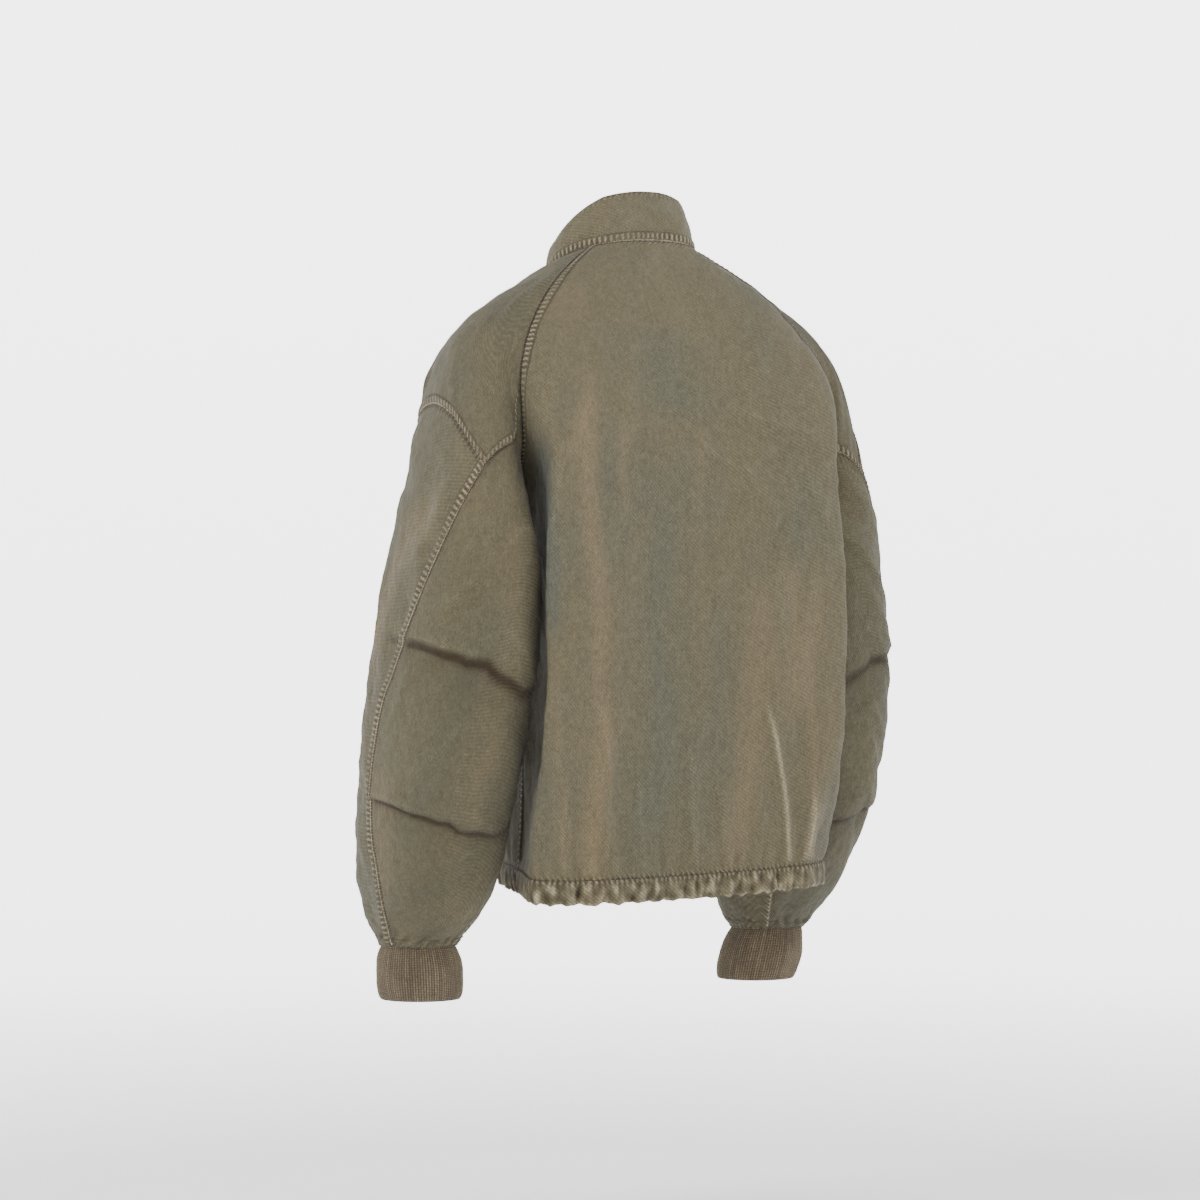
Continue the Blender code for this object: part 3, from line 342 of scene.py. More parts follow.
def back_net():
    rows = []
    for row in BACK:
        fall = {name: row.centre_z + (row.end_z - row.centre_z) * share
                for name, share in BACK_FALL.items()}
        rows.append([
            (row.end_x, row.end_y, row.end_z),
            (row.hollow_x, row.hollow_y, fall["hollow"]),
            (row.ridge_x, row.ridge_y, fall["ridge"]),
            (row.ridge_x * 0.5, row.centre_y + 1, fall["middle"]),
            (0, row.centre_y, row.centre_z),
        ])
    return mirrored_net(np.array(rows, float))


def front_net():
    rows = []
    for row in FRONT:
        rows.append([
            (row.end_x, row.end_y, row.end_z),
            (0.35 * row.end_x + 0.65 * row.chest_x, 0.5 * (row.end_y + row.chest_y),
             0.5 * (row.end_z + row.chest_z)),
            (row.chest_x, row.chest_y, row.chest_z),
            (row.chest_x * 0.5, row.centre_y - 1, row.centre_z + 1),
            (0, row.centre_y, row.centre_z),
        ])
    return mirrored_net(np.array(rows, float))


BACK_NET, FRONT_NET = back_net(), front_net()
ARMPIT_PLACE = (ARMPIT_ROW - 1) / (len(BACK) - 3)


def row_place(level):
    """Level 0 is the neck seam, 1 the armpit and 2 the hem seam."""
    return np.interp(level, [0, 1, 2], [0, ARMPIT_PLACE, 1])


def raw_back(across, level):
    return spline_patch(BACK_NET, across, row_place(level))


def fold_shift(folds, across, level, outward):
    height = np.zeros(np.broadcast(across, level).shape)
    for fold in folds:
        share = np.clip((level - fold.top) / (fold.low - fold.top), 0, 1)
        centre = fold.across_top + (fold.across_low - fold.across_top) * share
        height = height + fold.height * share * hump(across - centre, fold.width)
    return height[..., None] * np.array([0, outward, 0])


def sway(point):
    height = point[..., 2]
    aside = -np.interp(height, SWAY_HEIGHTS, SWAY)
    drop = -HEM_TILT * point[..., 0] * smooth(-height, -TILT_FROM, -TILT_TO)
    return point + np.stack([aside, 0 * aside, drop], axis=-1)


def back_point(across, level):
    return sway(raw_back(across, level) + fold_shift(BACK_FOLDS, across, level, 1))


def seam_pull(side, level):
    lower = np.maximum(level, 1)
    pull = raw_back(side, lower) - spline_patch(FRONT_NET, side, row_place(lower))
    return pull * smooth(level, 0.6, 1)[..., None]


def front_point(across, level):
    point = spline_patch(FRONT_NET, across, row_place(level))
    left_share = smooth(0.5 - across, 0.1, 0.5)[..., None]
    right_share = smooth(across - 0.5, 0.1, 0.5)[..., None]
    point = point + seam_pull(np.zeros_like(across), level) * left_share
    point = point + seam_pull(np.ones_like(across), level) * right_share
    return sway(point + fold_shift(FRONT_FOLDS, across, level, -1))


print("centre back, neck to hem:", back_point(np.array([0.5, 0.5]), np.array([0.0, 2.0]))[:, 2].round(1))


# %% The sleeve's tube
def neck_side(share):
    start, end = back_point(np.array(0.0), np.array(0.0)), front_point(np.array(0.0), np.array(0.0))
    pull = 2 * np.array(NECK_SIDE_POINT) - (start + end) / 2
    share = share[..., None]
    return (1 - share) ** 2 * start + 2 * share * (1 - share) * pull + share ** 2 * end


def raglan(turn, side):
    """The seam where a sleeve joins the body, with the right one mirrored."""
    turn = np.clip(turn, 0, 1)
    edge = np.full_like(turn, 0.0 if side == "left" else 1.0)
    on_back = back_point(edge, 1 - turn / NECK_BACK)
    on_neck = neck_side((turn - NECK_BACK) / (NECK_FRONT - NECK_BACK))
    on_front = front_point(edge, (turn - NECK_FRONT) / (1 - NECK_FRONT))
    if side == "right":
        on_back, on_front = mirror_x(on_back), mirror_x(on_front)
    at_back, at_neck = (turn <= NECK_BACK)[..., None], (turn < NECK_FRONT)[..., None]
    return np.where(at_back, on_back, np.where(at_neck, on_neck, on_front))


def round_table(rows, turn):
    values = np.array([row[1:] for row in rows], float)
    step = rows[1].turn - rows[0].turn
    total, share = 0, 0
    for row, value in zip(rows, values):
        gap = np.abs(np.mod(turn, 1)[..., None] - row.turn)
        weight = hump(np.minimum(gap, 1 - gap), step)
        total = total + weight * value
        share = share + weight
    return total / share


def ring_point(ring, turn):
    angle = 2 * pi * (0.5 - turn)
    out, back = np.cos(angle), np.sin(angle)
    out = np.sign(out) * np.abs(out) ** (2 / ring.square)
    back = np.sign(back) * np.abs(back) ** (2 / ring.square)
    return np.stack([
        ring.x + ring.half_wide * out,
        ring.y + ring.half_deep * back,
        ring.z + ring.rise * out,
    ], axis=-1)


def sleeve_point(turn, down, side):
    seam_turn = np.mod(turn, 1)
    first = raglan(seam_turn, side)
    lean = np.array([SHOULDER_LEAN[side], 0, 0])
    controls = [first, first + round_table(SLEEVE_START, seam_turn)]
    controls += [ring_point(ring, turn) + lean * share for ring, share in zip(SLEEVE, LEAN_SHARES)]
    weights = spline_weights(len(controls), down)
    return sum(weights[..., i, None] * control for i, control in enumerate(controls))


def arm_move(side):
    if side == "left":
        return np.zeros(3)
    return np.array([RIGHT_ARM_OUT, -RIGHT_ARM_FORWARD, 0])


def arm_moved(point, down, side):
    return point + smooth(down, 0, 0.4)[..., None] * arm_move(side)


def saddle_seam(turn):
    return np.interp(turn, [seam.turn for seam in SADDLE_SEAM], [seam.down for seam in SADDLE_SEAM])


print("left wrist centre:", ring_point(SLEEVE[-1], np.linspace(0, 1, 9)[:-1]).mean(axis=0).round(1))


# %% Places on the sleeve
def tuck_reach(top_turn):
    behind = np.interp(top_turn / JUNCTION, TUCK_REACH["at"], TUCK_REACH["share"])
    return behind + smooth(top_turn, 0.7, 1) * TUCK_REACH["share"][0]


def tuck_slant(down):
    at = [0] + [tuck.down for tuck in TUCKS] + [1]
    return np.interp(down, at, [0] + [tuck.slant for tuck in TUCKS] + [0])


def tuck_fade(top_turn):
    ledge = np.interp(top_turn / JUNCTION, TUCK_LEDGE["at"], TUCK_LEDGE["share"])
    return ledge * (1 - smooth(top_turn, JUNCTION, JUNCTION + TUCK_ENDS))


def tuck_softness(top_turn):
    """A tuck is sharp where it is sewn into the back seam and opens out away from it."""
    return TUCK_SHARP + TUCK_OPEN * (1 - np.clip(top_turn / JUNCTION, 0, 1)) ** 1.6


def tuck_height(top_turn, down):
    height = 0
    for tuck in TUCKS:
        below = down - tuck.down
        above_it = np.exp(np.minimum(below, 0) / TUCK_RISE)
        under_it = -TUCK_BELOW * np.exp(-np.maximum(below, 0) / TUCK_FALL)
        step = smooth(below / tuck_softness(top_turn), -1, 1)
        ledge = above_it * (1 - step) + under_it * step
        height = height + tuck.overhang * ledge
    return height * tuck_fade(top_turn)


def sleeve_places(turns, rows):
    """Turn and down of each point of the tube below the saddle."""
    top_turn, down = np.meshgrid(turns, rows)
    under, back_seam = spline_value(UNDER_SEAM, down), spline_value(BACK_SEAM, down)
    behind = under + top_turn / JUNCTION * (back_seam - under)
    outside = back_seam + (top_turn - JUNCTION) / (1 - JUNCTION) * (1 + under - back_seam)
    turn = np.where(top_turn <= JUNCTION, behind, outside)
    top = saddle_seam(top_turn)
    return turn, top + (1 - top) * (down + tuck_reach(top_turn) * tuck_slant(down)), top_turn, down


def collar_point(base, share):
    angle = np.arctan2(base[..., 1] - COLLAR_TOP_Y, base[..., 0])
    top_x = COLLAR_TOP_HALF_WIDE * np.cos(angle)
    top_y = COLLAR_TOP_Y + COLLAR_TOP_HALF_DEEP * np.sin(angle)
    top_z = np.interp(top_y, [edge.y for edge in COLLAR_TOP], [edge.z for edge in COLLAR_TOP])
    top = np.stack([top_x, top_y, top_z], axis=-1)
    outward = np.stack([np.cos(angle), np.sin(angle), 0 * angle], axis=-1)
    share = share[..., None]
    return base + (top - base) * share + outward * COLLAR_SWELL * np.sin(pi * share)


# %% [markdown]
# ## Shader groups
#
# Washed cotton twill is never one colour. Dye rubs off the raised edges and
# fades in upright streaks where the garment hung to dry. Shade is painted in
# too: seam ditches, crease hollows, pucker troughs and the cloth under the
# tucks are darkened. These effects are built once as node groups, so the body,
# the sleeves and the collar share them with their own values. Flat colours
# with noise on top would look like paint, so the masks follow the cloth:
# streaks use the object's upright axis, and wear and painted shade use an
# attribute on the mesh.

# %% Small helpers for node trees
def make(tree, kind, ins=(), **settings):
    node = tree.nodes.new(kind)
    for key, value in settings.items():
        setattr(node, key, value)
    for place, value in (ins.items() if isinstance(ins, dict) else enumerate(ins)):
        if isinstance(value, bpy.types.NodeSocket):
            tree.links.new(value, node.inputs[place])
        elif value is not None:
            node.inputs[place].default_value = value
    return node


def maths(tree, operation, *values):
    return make(tree, "ShaderNodeMath", values, operation=operation).outputs[0]


def times(tree, *values):
    return maths(tree, "MULTIPLY", *values)


def plus(tree, *values):
    return maths(tree, "ADD", *values)


def blend(tree, share, first, second):
    return make(tree, "ShaderNodeMix", {0: share, 6: first, 7: second}, data_type="RGBA").outputs[2]


def rescaled(tree, value, low, high, to_low=0.0, to_high=1.0):
    return make(tree, "ShaderNodeMapRange", [value, low, high, to_low, to_high]).outputs[0]


def cloud(tree, place, stretch, detail):
    """Noise over a place that is stretched by different amounts each way."""
    spread = make(tree, "ShaderNodeVectorMath", [place, stretch], operation="MULTIPLY").outputs[0]
    values = {"Vector": spread, "Scale": 1.0, "Detail": detail, "Roughness": 0.55}
    return make(tree, "ShaderNodeTexNoise", values).outputs[0]


def new_group(name, inputs, outputs):
    group = bpy.data.node_groups.new(name, "ShaderNodeTree")
    for label, kind, value in inputs:
        socket = group.interface.new_socket(label, in_out="INPUT", socket_type="NodeSocket" + kind)
        if value is not None:
            socket.default_value = value
    for label, kind in outputs:
        group.interface.new_socket(label, in_out="OUTPUT", socket_type="NodeSocket" + kind)
    return group, group.nodes.new("NodeGroupInput").outputs, group.nodes.new("NodeGroupOutput").inputs


# %% Washed colour
# The darkest colour in each set is painted shade: the cloth is darkened towards it in crease hollows, seam
# ditches, pucker troughs, twill grooves and under the tucks.
BODY_SHADES = {"Cloth": (0.067, 0.058, 0.034), "Warm": (0.106, 0.080, 0.046), "Cool": (0.046, 0.051, 0.040),
               "Rubbed": (0.300, 0.250, 0.170), "Deep": (0.016, 0.010, 0.004)}
SLEEVE_SHADES = dict(BODY_SHADES, Cloth=(0.056, 0.050, 0.029), Cool=(0.046, 0.045, 0.032))


def washed_cotton_group():
    inputs = [("Place", "Vector", None)]
    inputs += [(shade, "Color", (*value, 1)) for shade, value in BODY_SHADES.items()]
    inputs += [("Worn", "Float", 0.0), ("Faded", "Float", 0.0)]
    inputs += [("Streaks", "Float", 0.6), ("Patches", "Float", 0.6)]
    group, given, out = new_group("washed cotton", inputs, [("Colour", "Color"), ("Roughness", "Float")])
    place = given["Place"]
    streak = rescaled(group, cloud(group, place, (17, 17, 1.9), 2), 0.52, 0.70)
    fine_streak = rescaled(group, cloud(group, place, (120, 120, 6), 2), 0.45, 0.75)
    patch = rescaled(group, cloud(group, place, (7, 7, 5), 3), 0.44, 0.66)
    faded = maths(group, "MAXIMUM", given["Faded"], 0.0)
    greyed = maths(group, "MAXIMUM", times(group, given["Faded"], -1.0), 0.0)
    cool = maths(group, "MAXIMUM", times(group, patch, given["Patches"]), greyed)
    colour = blend(group, cool, given["Cloth"], given["Cool"])
    warm = maths(group, "MAXIMUM", times(group, streak, given["Streaks"]), faded)
    thready = plus(group, 0.72, times(group, fine_streak, 0.28))
    colour = blend(group, times(group, warm, thready), colour, given["Warm"])
    slub = rescaled(group, cloud(group, place, (900, 900, 420), 2), 0.3, 0.7, 0.74, 1.26)
    speck = rescaled(group, cloud(group, place, (260, 260, 130), 4), 0.3, 0.7, 0.88, 1.12)
    tone = times(group, slub, speck)
    tone_colour = make(group, "ShaderNodeCombineXYZ", [tone, tone, tone]).outputs[0]
    colour = make(group, "ShaderNodeVectorMath", [colour, tone_colour], operation="MULTIPLY").outputs[0]
    broken = rescaled(group, cloud(group, place, (420, 420, 420), 3), 0.35, 0.65, 0.35, 1.0)
    # Above zero the mask lightens the cloth towards the rubbed colour, as wear; below zero it darkens it towards
    # the darkest colour, as painted shade.
    light = times(group, maths(group, "MAXIMUM", given["Worn"], 0.0), broken)
    dark = maths(group, "MAXIMUM", times(group, given["Worn"], -1.0), 0.0)
    colour = blend(group, light, colour, given["Rubbed"])
    colour = blend(group, dark, colour, given["Deep"])
    group.links.new(colour, out["Colour"])
    group.links.new(rescaled(group, speck, 0.86, 1.14, 0.92, 0.78), out["Roughness"])
    return group


def twill_group():
    """Fine diagonal ribs of a twill, in metres of the cut, with a slight waver."""
    group, given, out = new_group("twill weave", [
        ("Cut", "Vector", None), ("Pitch", "Float", 0.0029), ("Height", "Float", 0.00030),
    ], [("Height", "Float"), ("Tone", "Float")])
    u, v, _ = make(group, "ShaderNodeSeparateXYZ", [given["Cut"]]).outputs
    waver = times(group, cloud(group, given["Cut"], (90, 90, 0), 2), 4.0)
    diagonal = plus(group, times(group, u, 0.62), times(group, v, -0.78))
    turns = times(group, maths(group, "DIVIDE", diagonal, given["Pitch"]), 2 * pi)
    rib = rescaled(group, maths(group, "SINE", plus(group, turns, waver)), -1.0, 1.0)
    broken = rescaled(group, cloud(group, given["Cut"], (700, 350, 0), 2), 0.3, 0.7, 0.3, 1.0)
    rib = times(group, rib, broken)
    group.links.new(times(group, rib, given["Height"]), out["Height"])
    # The tone follows the rib's height: the weave's ribs are lighter and its grooves darker, partly as painted
    # shade.
    group.links.new(rib, out["Tone"])
    return group


def pucker_group():
    """Short ripples across a seam: gap is the distance from it and run the length along it."""
    group, given, out = new_group("seam puckers", [
        ("Gap", "Float", 1.0), ("Run", "Float", 0.0), ("Reach", "Float", 0.011), ("Pitch", "Float", 0.0056),
    ], [("Height", "Float"), ("Tone", "Float")])
    along = make(group, "ShaderNodeCombineXYZ", [given["Run"], given["Gap"], 0.0]).outputs[0]
    waver = times(group, cloud(group, along, (55, 90, 0), 2), 9.0)
    turns = times(group, maths(group, "DIVIDE", given["Run"], given["Pitch"]), 2 * pi)
    ripple = maths(group, "SINE", plus(group, turns, waver))
    near = rescaled(group, given["Gap"], 0.0, given["Reach"], 1.0, 0.0)
    near = times(group, near, near)
    ripple = times(group, ripple, near)
    group.links.new(times(group, ripple, 0.0007), out["Height"])
    # The tone follows the ripple's height: the crests are lighter, as wear, and the troughs darker, as painted
    # shade.
    group.links.new(ripple, out["Tone"])
    return group


WASHED, TWILL_WEAVE, PUCKERS = washed_cotton_group(), twill_group(), pucker_group()
print("shader groups:", [group.name for group in bpy.data.node_groups])


# %% The cloth materials
def use_group(tree, group, **values):
    node = tree.nodes.new("ShaderNodeGroup")
    node.node_tree = group
    for label, value in values.items():
        socket = node.inputs[label]
        if isinstance(value, bpy.types.NodeSocket):
            tree.links.new(value, socket)
        else:
            socket.default_value = value
    return node.outputs


def attribute(tree, name):
    return make(tree, "ShaderNodeAttribute", attribute_name=name).outputs["Fac"]


def new_material(name):
    """A material, its node tree, and the place on the object that its noise follows."""
    material = bpy.data.materials.new(name)
    material.use_nodes = True
    tree = material.node_tree
    return material, tree, make(tree, "ShaderNodeTexCoord").outputs["Object"]


def dress(material, colour, roughness, height=None, constants=()):
    """Link what varies over the surface, and set the rest on the shader's own sockets."""
    tree = material.node_tree
    shader = tree.nodes["Principled BSDF"]
    tree.links.new(colour, shader.inputs["Base Color"])
    tree.links.new(roughness, shader.inputs["Roughness"])
    if height is not None:
        bump = make(tree, "ShaderNodeBump", {"Strength": 1.0, "Distance": 1.0, "Height": height})
        tree.links.new(bump.outputs[0], shader.inputs["Normal"])
    for label, value in dict(constants).items():
        shader.inputs[label].default_value = value
    return material


TWILL_TONES, PUCKER_TONE, CRUMPLE = (-0.22, 0.13), 0.5, 0.0026
CLOTH_FINISH = {"Sheen Weight": 0.04, "Sheen Roughness": 0.6, "Specular IOR Level": 0.15}


def cloth_material(name, shades, streaks, patches):
    material, tree, place = new_material(name)
    twill = use_group(tree, TWILL_WEAVE, Cut=make(tree, "ShaderNodeUVMap", uv_map="cut").outputs[0])
    pucker = use_group(tree, PUCKERS, Gap=attribute(tree, "edge_gap"), Run=attribute(tree, "edge_run"))
    # Twill and pucker tones lighten crests and darken grooves and troughs: weave and wear, partly painted shade.
    twill_tone = rescaled(tree, twill["Tone"], 0.0, 1.0, *TWILL_TONES)
    tone = plus(tree, twill_tone, times(tree, pucker["Tone"], PUCKER_TONE))
    cotton = use_group(tree, WASHED, Place=place, Worn=plus(tree, tone, attribute(tree, "wear_and_shade")),
                       Faded=attribute(tree, "faded"), Streaks=streaks, Patches=patches,
                       **{key: (*value, 1) for key, value in shades.items()})
    crumple = times(tree, cloud(tree, place, (62, 62, 34), 4), CRUMPLE)
    height = plus(tree, plus(tree, twill["Height"], pucker["Height"]), crumple)
    return dress(material, cotton["Colour"], cotton["Roughness"], height, CLOTH_FINISH)


BODY_CLOTH = cloth_material("washed twill, body", BODY_SHADES, 0.30, 0.45)
SLEEVE_CLOTH = cloth_material("washed twill, sleeves", SLEEVE_SHADES, 0.32, 0.55)
TRIM_CLOTH = cloth_material("washed twill, collar and hem", BODY_SHADES, 0.35, 0.4)


KNIT_LOOP = 0.0017


def knit_material():
    """Rib knit: the ribs are in the mesh, and the loops down each rib are bump and tone. The gaps between ribs and
    loops are darkened as painted shade.
    """
    material, tree, place = new_material("rib knit")
    cut = make(tree, "ShaderNodeUVMap", uv_map="cut").outputs[0]
    down = make(tree, "ShaderNodeSeparateXYZ", [cut]).outputs[1]
    waver = times(tree, cloud(tree, cut, (300, 300, 0), 2), 4.0)
    turns = plus(tree, times(tree, down, 2 * pi / KNIT_LOOP), waver)
    loop = rescaled(tree, maths(tree, "SINE", turns), -1.0, 1.0)
    light = times(tree, attribute(tree, "wear_and_shade"), rescaled(tree, loop, 0.0, 1.0, 0.35, 1.0))
    speck = rescaled(tree, cloud(tree, place, (700, 700, 500), 2), 0.35, 0.65, 0.45, 1.1)
    patch = rescaled(tree, cloud(tree, place, (40, 40, 25), 3), 0.35, 0.7)
    # The colour between the ribs and loops is near black: painted shade in the gaps.
    shade_between_ribs = blend(tree, patch, (0.012, 0.008, 0.004, 1), (0.020, 0.015, 0.008, 1))
    high = blend(tree, patch, (0.157, 0.108, 0.051, 1), (0.250, 0.187, 0.098, 1))
    colour = blend(tree, times(tree, light, speck), shade_between_ribs, high)
    roughness = rescaled(tree, loop, 0.0, 1.0, 0.95, 0.8)
    return dress(material, colour, roughness, times(tree, loop, 0.0003), {"Sheen Weight": 0.05})


def thread_material():
    material, tree, place = new_material("sewing thread")
    fade = rescaled(tree, cloud(tree, place, (30, 30, 30), 3), 0.35, 0.7)
    colour = blend(tree, fade, (0.011, 0.006, 0.003, 1), (0.034, 0.020, 0.009, 1))
    return dress(material, colour, rescaled(tree, fade, 0.0, 1.0, 0.6, 0.8))


def tape_material():
    material, tree, place = new_material("woven zip tape")
    weave = rescaled(tree, cloud(tree, place, (1500, 1500, 500), 1), 0.3, 0.7)
    fade = rescaled(tree, cloud(tree, place, (25, 25, 12), 3), 0.3, 0.7)
    base = blend(tree, fade, (0.046, 0.038, 0.023, 1), (0.070, 0.059, 0.037, 1))
    colour = blend(tree, weave, base, (0.105, 0.090, 0.058, 1))
    return dress(material, colour, rescaled(tree, weave, 0.0, 1.0, 0.9, 0.75), times(tree, weave, 0.0002))


def metal_material():
    material, tree, place = new_material("aged brass")
    tarnish = rescaled(tree, cloud(tree, place, (450, 450, 450), 4), 0.35, 0.7)
    scratch = rescaled(tree, cloud(tree, place, (3000, 400, 400), 2), 0.4, 0.65)
    colour = blend(tree, tarnish, (0.42, 0.34, 0.20, 1), (0.16, 0.12, 0.07, 1))
    colour = blend(tree, scratch, colour, (0.50, 0.42, 0.27, 1))
    roughness = rescaled(tree, tarnish, 0.0, 1.0, 0.28, 0.55)
    return dress(material, colour, roughness, times(tree, scratch, 0.00004), {"Metallic": 1.0})


KNIT, THREAD, TAPE, METAL = knit_material(), thread_material(), tape_material(), metal_material()
CARRIED_OVER = {"zip_tape_left": TAPE, "zip_tape_right": TAPE, "zip_slider": METAL, "zip_pull": METAL}
for node_name, material in CARRIED_OVER.items():
    for material_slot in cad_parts[node_name].material_slots:
        material_slot.material = material
print("materials:", len(bpy.data.materials))

# %% [markdown]
# ## From a grid of points to a piece of cloth
#
# A panel of cloth is a thin shell. Its face is a grid of points on the
# pattern's surface, its back is the same grid moved inwards by the cloth's
# thickness, and a rim closes it. Solidify would do the same, but here the
# points are known, so the shell is written directly, and each point also
# keeps its place in the cut, its distance to the nearest seam, and its wear
# and painted shade.

# %% Measures on a grid
TWILL = 1.6
COLLAR_CLOTH = 2.4
STEP = 3.2
EDGE_STEPS = np.array([0, 0.9, 1.9, 3.1, 4.6, 6.6])


def unit(vectors):
    return vectors / np.maximum(np.linalg.norm(vectors, axis=-1, keepdims=True), 1e-9)


def run_along(grid, axis):
    step = np.linalg.norm(np.diff(grid, axis=axis), axis=-1)
    return np.concatenate([np.zeros_like(step.take([0], axis=axis)), np.cumsum(step, axis=axis)], axis=axis)


def grid_normals(grid):
    return unit(np.cross(np.gradient(grid, axis=0), np.gradient(grid, axis=1)))


def places(length, low=0.0, high=1.0, step=STEP):
    """Places from low to high, closer together near both ends, for cloth of that length."""
    middle = np.linspace(EDGE_STEPS[-1], length - EDGE_STEPS[-1], max(2, int(length / step)))
    run = np.concatenate([EDGE_STEPS[:-1], middle, length - EDGE_STEPS[-2::-1]])
    return low + (high - low) * run / length


def even_places(point_at, level, low, high):
    """Places across a row that are evenly spaced along the cloth, with closer ends."""
    fine = np.linspace(low, high, 800)
    points = point_at(fine, np.full_like(fine, level))
    run = run_along(points, 0)
    return np.interp(places(run[-1]) * run[-1], run, fine)


def edge_measures(grid):
    """Distance to the nearest edge, the run along that edge, and the distance to the low edge."""
    down, across = run_along(grid, 0), run_along(grid, 1)
    gaps = np.stack([down, down[-1:] - down, across, across[:, -1:] - across])
    nearest = np.argmin(gaps, axis=0)
    return gaps.min(axis=0), np.where(nearest < 2, across, down), gaps[1]


# %% Creases and soft waves
WEAR_AND_SHADE_WIDTH, BOLD_CREASE = 2.2, 3.4
Crease = namedtuple("Crease", "side_top z_top side_low z_low width height")


def seen_side(points):
    """How far a point lies to the left, as the camera sees it."""
    return points[..., 0] * TO_THE_LEFT.x + points[..., 1] * TO_THE_LEFT.y


def creased(side, height, creases):
    """Height of straight folds, a narrow rubbed line along each raised one, and a narrow line of painted shade
    along each sunk one.
    """
    lift = np.zeros_like(side)
    wear_and_painted_shade = np.zeros_like(side)
    for crease in creases:
        dx, dz = crease.side_low - crease.side_top, crease.z_low - crease.z_top
        length = np.hypot(dx, dz)
        share = ((side - crease.side_top) * dx + (height - crease.z_top) * dz) / length ** 2
        off = ((side - crease.side_top) * dz - (height - crease.z_top) * dx) / length
        off = off + 0.05 * length * np.sin(pi * share) * np.sin(crease.z_top)
        taper = smooth(share, -0.08, 0.25) * (1 - smooth(share, 0.75, 1.08))
        lift += crease.height * taper * hump(off, crease.width)
        # A sunk crease gets a dark line of painted shade, and a raised one a light rubbed line.
        sharp = 1.0 if crease.height > 0 else -0.9
        line = 1.0 if crease.height > BOLD_CREASE else 0.28
        wear_and_painted_shade += 0.17 * line * sharp * abs(crease.height) * taper * hump(off, WEAR_AND_SHADE_WIDTH)
    return lift, wear_and_painted_shade


def soft_waves(across, down, shortest, longest, height, seed, count=26, upright=1.0):
    """Uneven waves of many lengths and directions, as in cloth that was never ironed."""
    pick = np.random.default_rng(seed)
    total = np.zeros_like(across)
    for _ in range(count):
        length = shortest * (longest / shortest) ** pick.random()
        angle = pick.uniform(0, pi)
        phase = pick.uniform(0, 2 * pi)
        waves = np.cos(angle) * across * upright + np.sin(angle) * down / upright
        total += (length / longest) ** 0.7 * np.sin(2 * pi * waves / length + phase)
    return total * height * np.sqrt(2 / count)


# %% A closed shell
def shell_faces(rows, columns, outward):
    index = np.arange(rows * columns).reshape(rows, columns)
    back = index + rows * columns
    a, b, c, d = index[:-1, :-1], index[1:, :-1], index[1:, 1:], index[:-1, 1:]
    front_faces = np.stack([a, b, c, d], axis=-1).reshape(-1, 4)
    faces = [front_faces, front_faces[:, ::-1] + rows * columns]
    for line, other in ((index[0], back[0]), (index[-1, ::-1], back[-1, ::-1]),
                        (index[::-1, 0], back[::-1, 0]), (index[:, -1], back[:, -1])):
        faces.append(np.stack([line[:-1], line[1:], other[1:], other[:-1]], axis=-1))
    faces = np.concatenate(faces)
    return faces if outward > 0 else faces[:, ::-1]


def set_values(mesh, name, values):
    layer = mesh.attributes.new(name, "FLOAT", "POINT")
    layer.data.foreach_set("value", np.asarray(values, np.float32).ravel())


def cloth_mesh(name, points, faces, cut, values):
    """A smooth mesh in metres, with its cut as a UV map and its measures as attributes."""
    mesh = bpy.data.meshes.new(name)
    mesh.from_pydata((np.asarray(points) * MM).tolist(), [], faces)
    corners = np.empty(len(mesh.loops), np.int32)
    mesh.loops.foreach_get("vertex_index", corners)
    layer = mesh.uv_layers.new(name="cut")
    layer.data.foreach_set("uv", (np.asarray(cut)[corners] * MM).astype(np.float32).ravel())
    for key, value in values.items():
        set_values(mesh, key, value)
    mesh.shade_smooth()
    mesh.set_sharp_from_angle(angle=pi / 3)
    return mesh


def add_piece(name, mesh, material, body="jacket"):
    mesh.materials.append(material)
    piece = bpy.data.objects.new(name, mesh)
    bpy.context.scene.collection.objects.link(piece)
    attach(piece, body)
    return piece


PANELS, FACES = {}, {}


def add_panel(name, grid, outward, material, lift=0.0, wear_and_painted_shade=0.0, thickness=TWILL, dip=0.55, faded=0.0):
    """One panel: the seams are drawn in, and folds fade out before they reach them."""
    gap, run, _ = edge_measures(grid)
    normal = grid_normals(grid) * outward
    fade = smooth(gap, 1, 14)
    drawn_in = -dip * hump(gap, 1.5) + 0.5 * hump(gap - 6, 4)
    face = grid + normal * (lift * fade + drawn_in)[..., None]
    wear_and_shade = 0.85 * hump(gap, 1.1) + wear_and_painted_shade * fade
    rows, columns = grid.shape[:2]
    points = np.concatenate([face.reshape(-1, 3), (face - normal * thickness).reshape(-1, 3)])
    across = run_along(grid, 1)
    cut = np.stack([across - across[:, columns // 2][:, None], run_along(grid, 0)], axis=-1).reshape(-1, 2)
    values = {"edge_gap": gap * MM, "edge_run": run * MM, "wear_and_shade": wear_and_shade, "faded": faded + 0 * gap}
    values = {key: np.concatenate([value.ravel()] * 2) for key, value in values.items()}
    faces = shell_faces(rows, columns, outward).tolist()
    mesh = cloth_mesh(name + "_cloth", points, faces, np.concatenate([cut, cut]), values)
    PANELS[name] = add_piece(name + "_cloth", mesh, material)
    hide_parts(name)
    FACES[name] = (face, grid_normals(face) * outward)
    width, length = across[:, -1].max(), run_along(grid, 0)[-1].max()
    area = surface_area(face)
    print(f"{name}: {width:.0f} x {length:.0f} mm, area {area / 1e6:.4f} m2, {2 * rows * columns} points")


